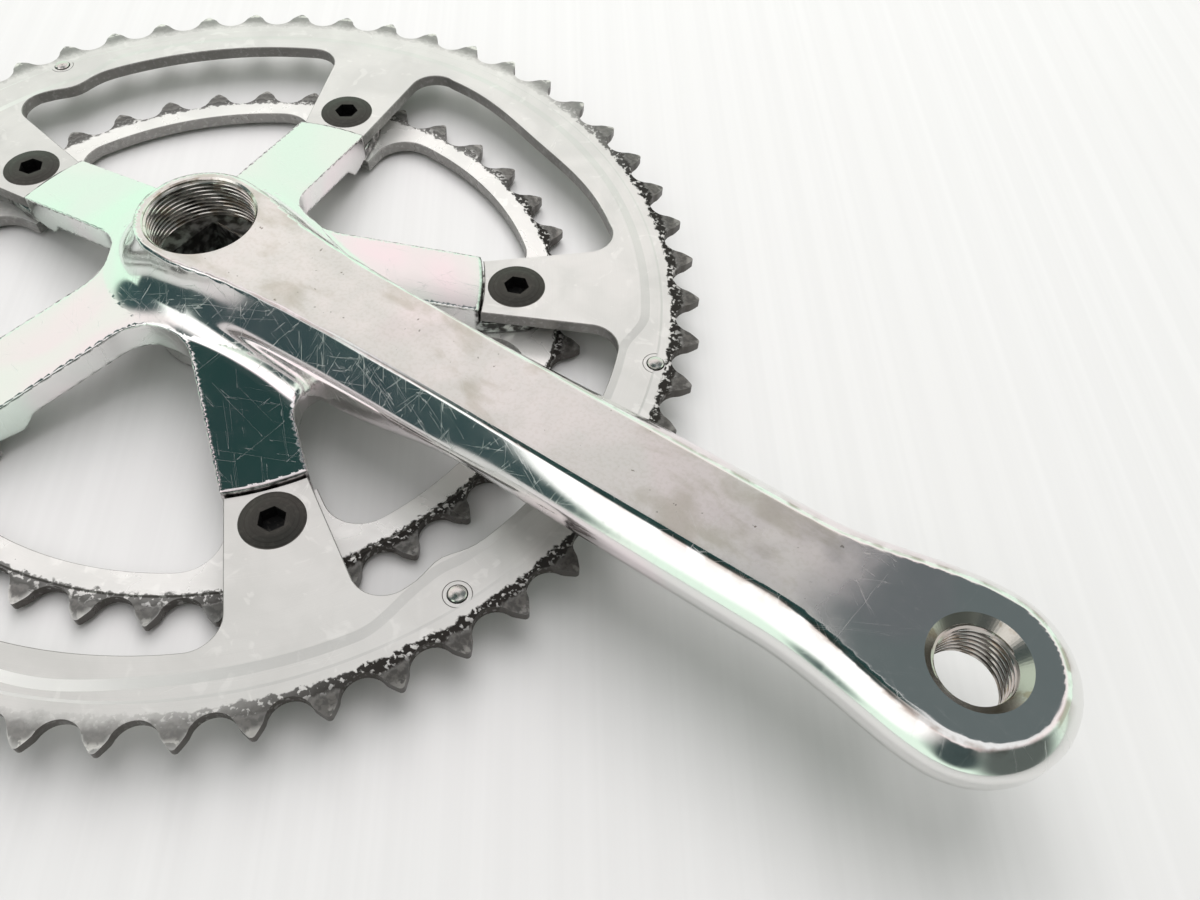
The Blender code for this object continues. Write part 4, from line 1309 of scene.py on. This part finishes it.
CAMERA_PLACE = (0.15728, -0.09338, 0.18144)
CAMERA_RIGHT = (0.8239, 0.5653, 0.0407)
CAMERA_UP = (-0.4793, 0.6566, 0.5823)
CAMERA_FORWARD = (-0.3024, 0.4993, -0.8119)
CAMERA_LENS = 31.4
FLOOR_GAP = 0.0004
FLOOR_SIZE = 4.0

# Shapes in the room: azimuth and elevation, the half angles of the core and of the soft edge, and colour.
ROOM_SHAPES = (
    (-110.0, 38.0, 10.0, 24.0, (1.45, 1.45, 1.44)),
    (-15.0, 20.0, 20.0, 42.0, (0.120, 0.140, 0.130)),
    (163.0, 75.0, 13.0, 18.0, (0.020, 0.056, 0.053)),
    (-140.0, 66.0, 8.0, 18.0, (0.030, 0.066, 0.062)),
    (-149.0, 27.0, 14.0, 20.0, (0.048, 0.088, 0.094)),
    (-127.0, 8.0, 16.0, 21.0, (0.042, 0.076, 0.080)),
    (-66.0, 26.0, 12.0, 24.0, (0.060, 0.085, 0.085)),
    (80.0, 57.0, 9.0, 24.0, (0.140, 0.168, 0.172)),
)
ROOM_MINT = (0.93, 1.12, 0.97)
ROOM_PINK = (1.10, 1.00, 1.00)
ROOM_LIGHT = (0.98, 0.98, 0.985)
ROOM_BACKDROP = (0.86, 0.87, 0.88)
MINT_TO_PINK = (24.0, 42.0)
PINK_TO_LIGHT = (48.0, 60.0)
LAMP_COLOR = (1.0, 0.985, 0.985)


def make_room():
    """Light from all round with the dark shapes that the polished faces mirror, behind a plain backdrop."""
    world = bpy.data.worlds.new("bright_room")
    world.use_nodes = True
    bpy.context.scene.world = world
    room = Nodes(world.node_tree)
    way = room.add("TexCoord").outputs["Generated"]

    def along(direction):
        return room.add("VectorMath", way, direction, operation="DOT_PRODUCT").outputs["Value"]

    height = along((0.0, 0.0, 1.0))
    color = ROOM_MINT
    for heights, next_color in ((MINT_TO_PINK, ROOM_PINK), (PINK_TO_LIGHT, ROOM_LIGHT)):
        low, high = (math.sin(math.radians(v)) for v in heights)
        color = room.mix(room.step(height, low, high), color, next_color)
    for azimuth, elevation, core, edge, shape_color in ROOM_SHAPES:
        level = math.cos(math.radians(elevation))
        direction = (*(level * v for v in polar(1.0, azimuth)), math.sin(math.radians(elevation)))
        low, high = (math.cos(math.radians(v)) for v in (edge, core))
        color = room.mix(room.step(along(direction), low, high), color, shape_color)
    color = room.mix(room.add("LightPath").outputs["Is Camera Ray"], color, ROOM_BACKDROP)
    room.feed(room.tree.nodes["Background"].inputs["Color"], color)


def make_camera():
    data = bpy.data.cameras.new("camera")
    data.lens = CAMERA_LENS
    data.sensor_width = 36.0
    data.clip_start = 0.005
    camera = linked("camera", data)
    rows = zip(CAMERA_RIGHT, CAMERA_UP, (-v for v in CAMERA_FORWARD), CAMERA_PLACE)
    camera.matrix_world = Matrix([*rows, (0.0, 0.0, 0.0, 1.0)])
    bpy.context.scene.camera = camera


def make_lamp(name, place, size, energy):
    """A round lamp aimed at the origin, which the polished metal doesn't mirror."""
    data = bpy.data.lights.new(name, "AREA")
    data.shape = "DISK"
    data.size = size
    data.energy = energy
    data.color = LAMP_COLOR
    lamp = linked(name, data)
    lamp.location = place
    lamp.rotation_mode = "QUATERNION"
    lamp.rotation_quaternion = (-Vector(place)).to_track_quat("-Z", "Y")
    lamp.visible_glossy = False


def make_floor():
    bpy.ops.mesh.primitive_plane_add(size=FLOOR_SIZE, location=(0.05, 0.0, -FLOOR_GAP))
    floor = bpy.context.object
    floor.name = "floor"
    floor.data.materials.append(floor_look())


# ---- everything in its place

MATERIALS = {
    "arm": arm_look(),
    "thread": thread_look(),
    "outer_chainring": ring_look(
        "satin_chainring", OUTER_ALLOY, 0.34, rim=99.0, tooth_root=101.0, tip=106.4,
        grime_amount=(0.12, 1.0), brushed=0.15),
    "inner_chainring": ring_look(
        "bright_chainring", INNER_ALLOY, 0.26, rim=74.6, tooth_root=75.0, tip=80.1,
        grime_amount=(0.75, 1.0), brushed=0.12),
    "bolt": bolt_look(),
    "socket": socket_look(),
    "nut": steel_look("plated_sleeve_nut", NUT_STEEL, 0.34),
    "pin": steel_look("turned_pin_steel", PIN_STEEL, 0.22),
}

make_room()
make_floor()
make_camera()
make_lamp("ceiling", (-0.15, 0.4, 1.1), 1.2, 12.5)
make_lamp("window", (-0.6, 0.7, 0.7), 0.5, 3.0)
make_crank_arm()
make_chainrings()
for number, bolt_centre in enumerate(BOLT_CENTRES, 1):
    make_bolt(number, bolt_centre)
    make_nut(number, bolt_centre)
for number, (pin_angle, pin_distance) in enumerate(SHIFT_PINS, 1):
    pin_node = f"shift_pin_{number}"
    make_pin(pin_node + "_rivet", SHIFT_PIN_PROFILE, polar(pin_distance, pin_angle), pin_node)
make_pin("chain_drop_pin_post", DROP_PIN_PROFILE, DROP_PIN_CENTRE, "chain_drop_pin")

bpy.context.scene.view_settings.view_transform = "Standard"
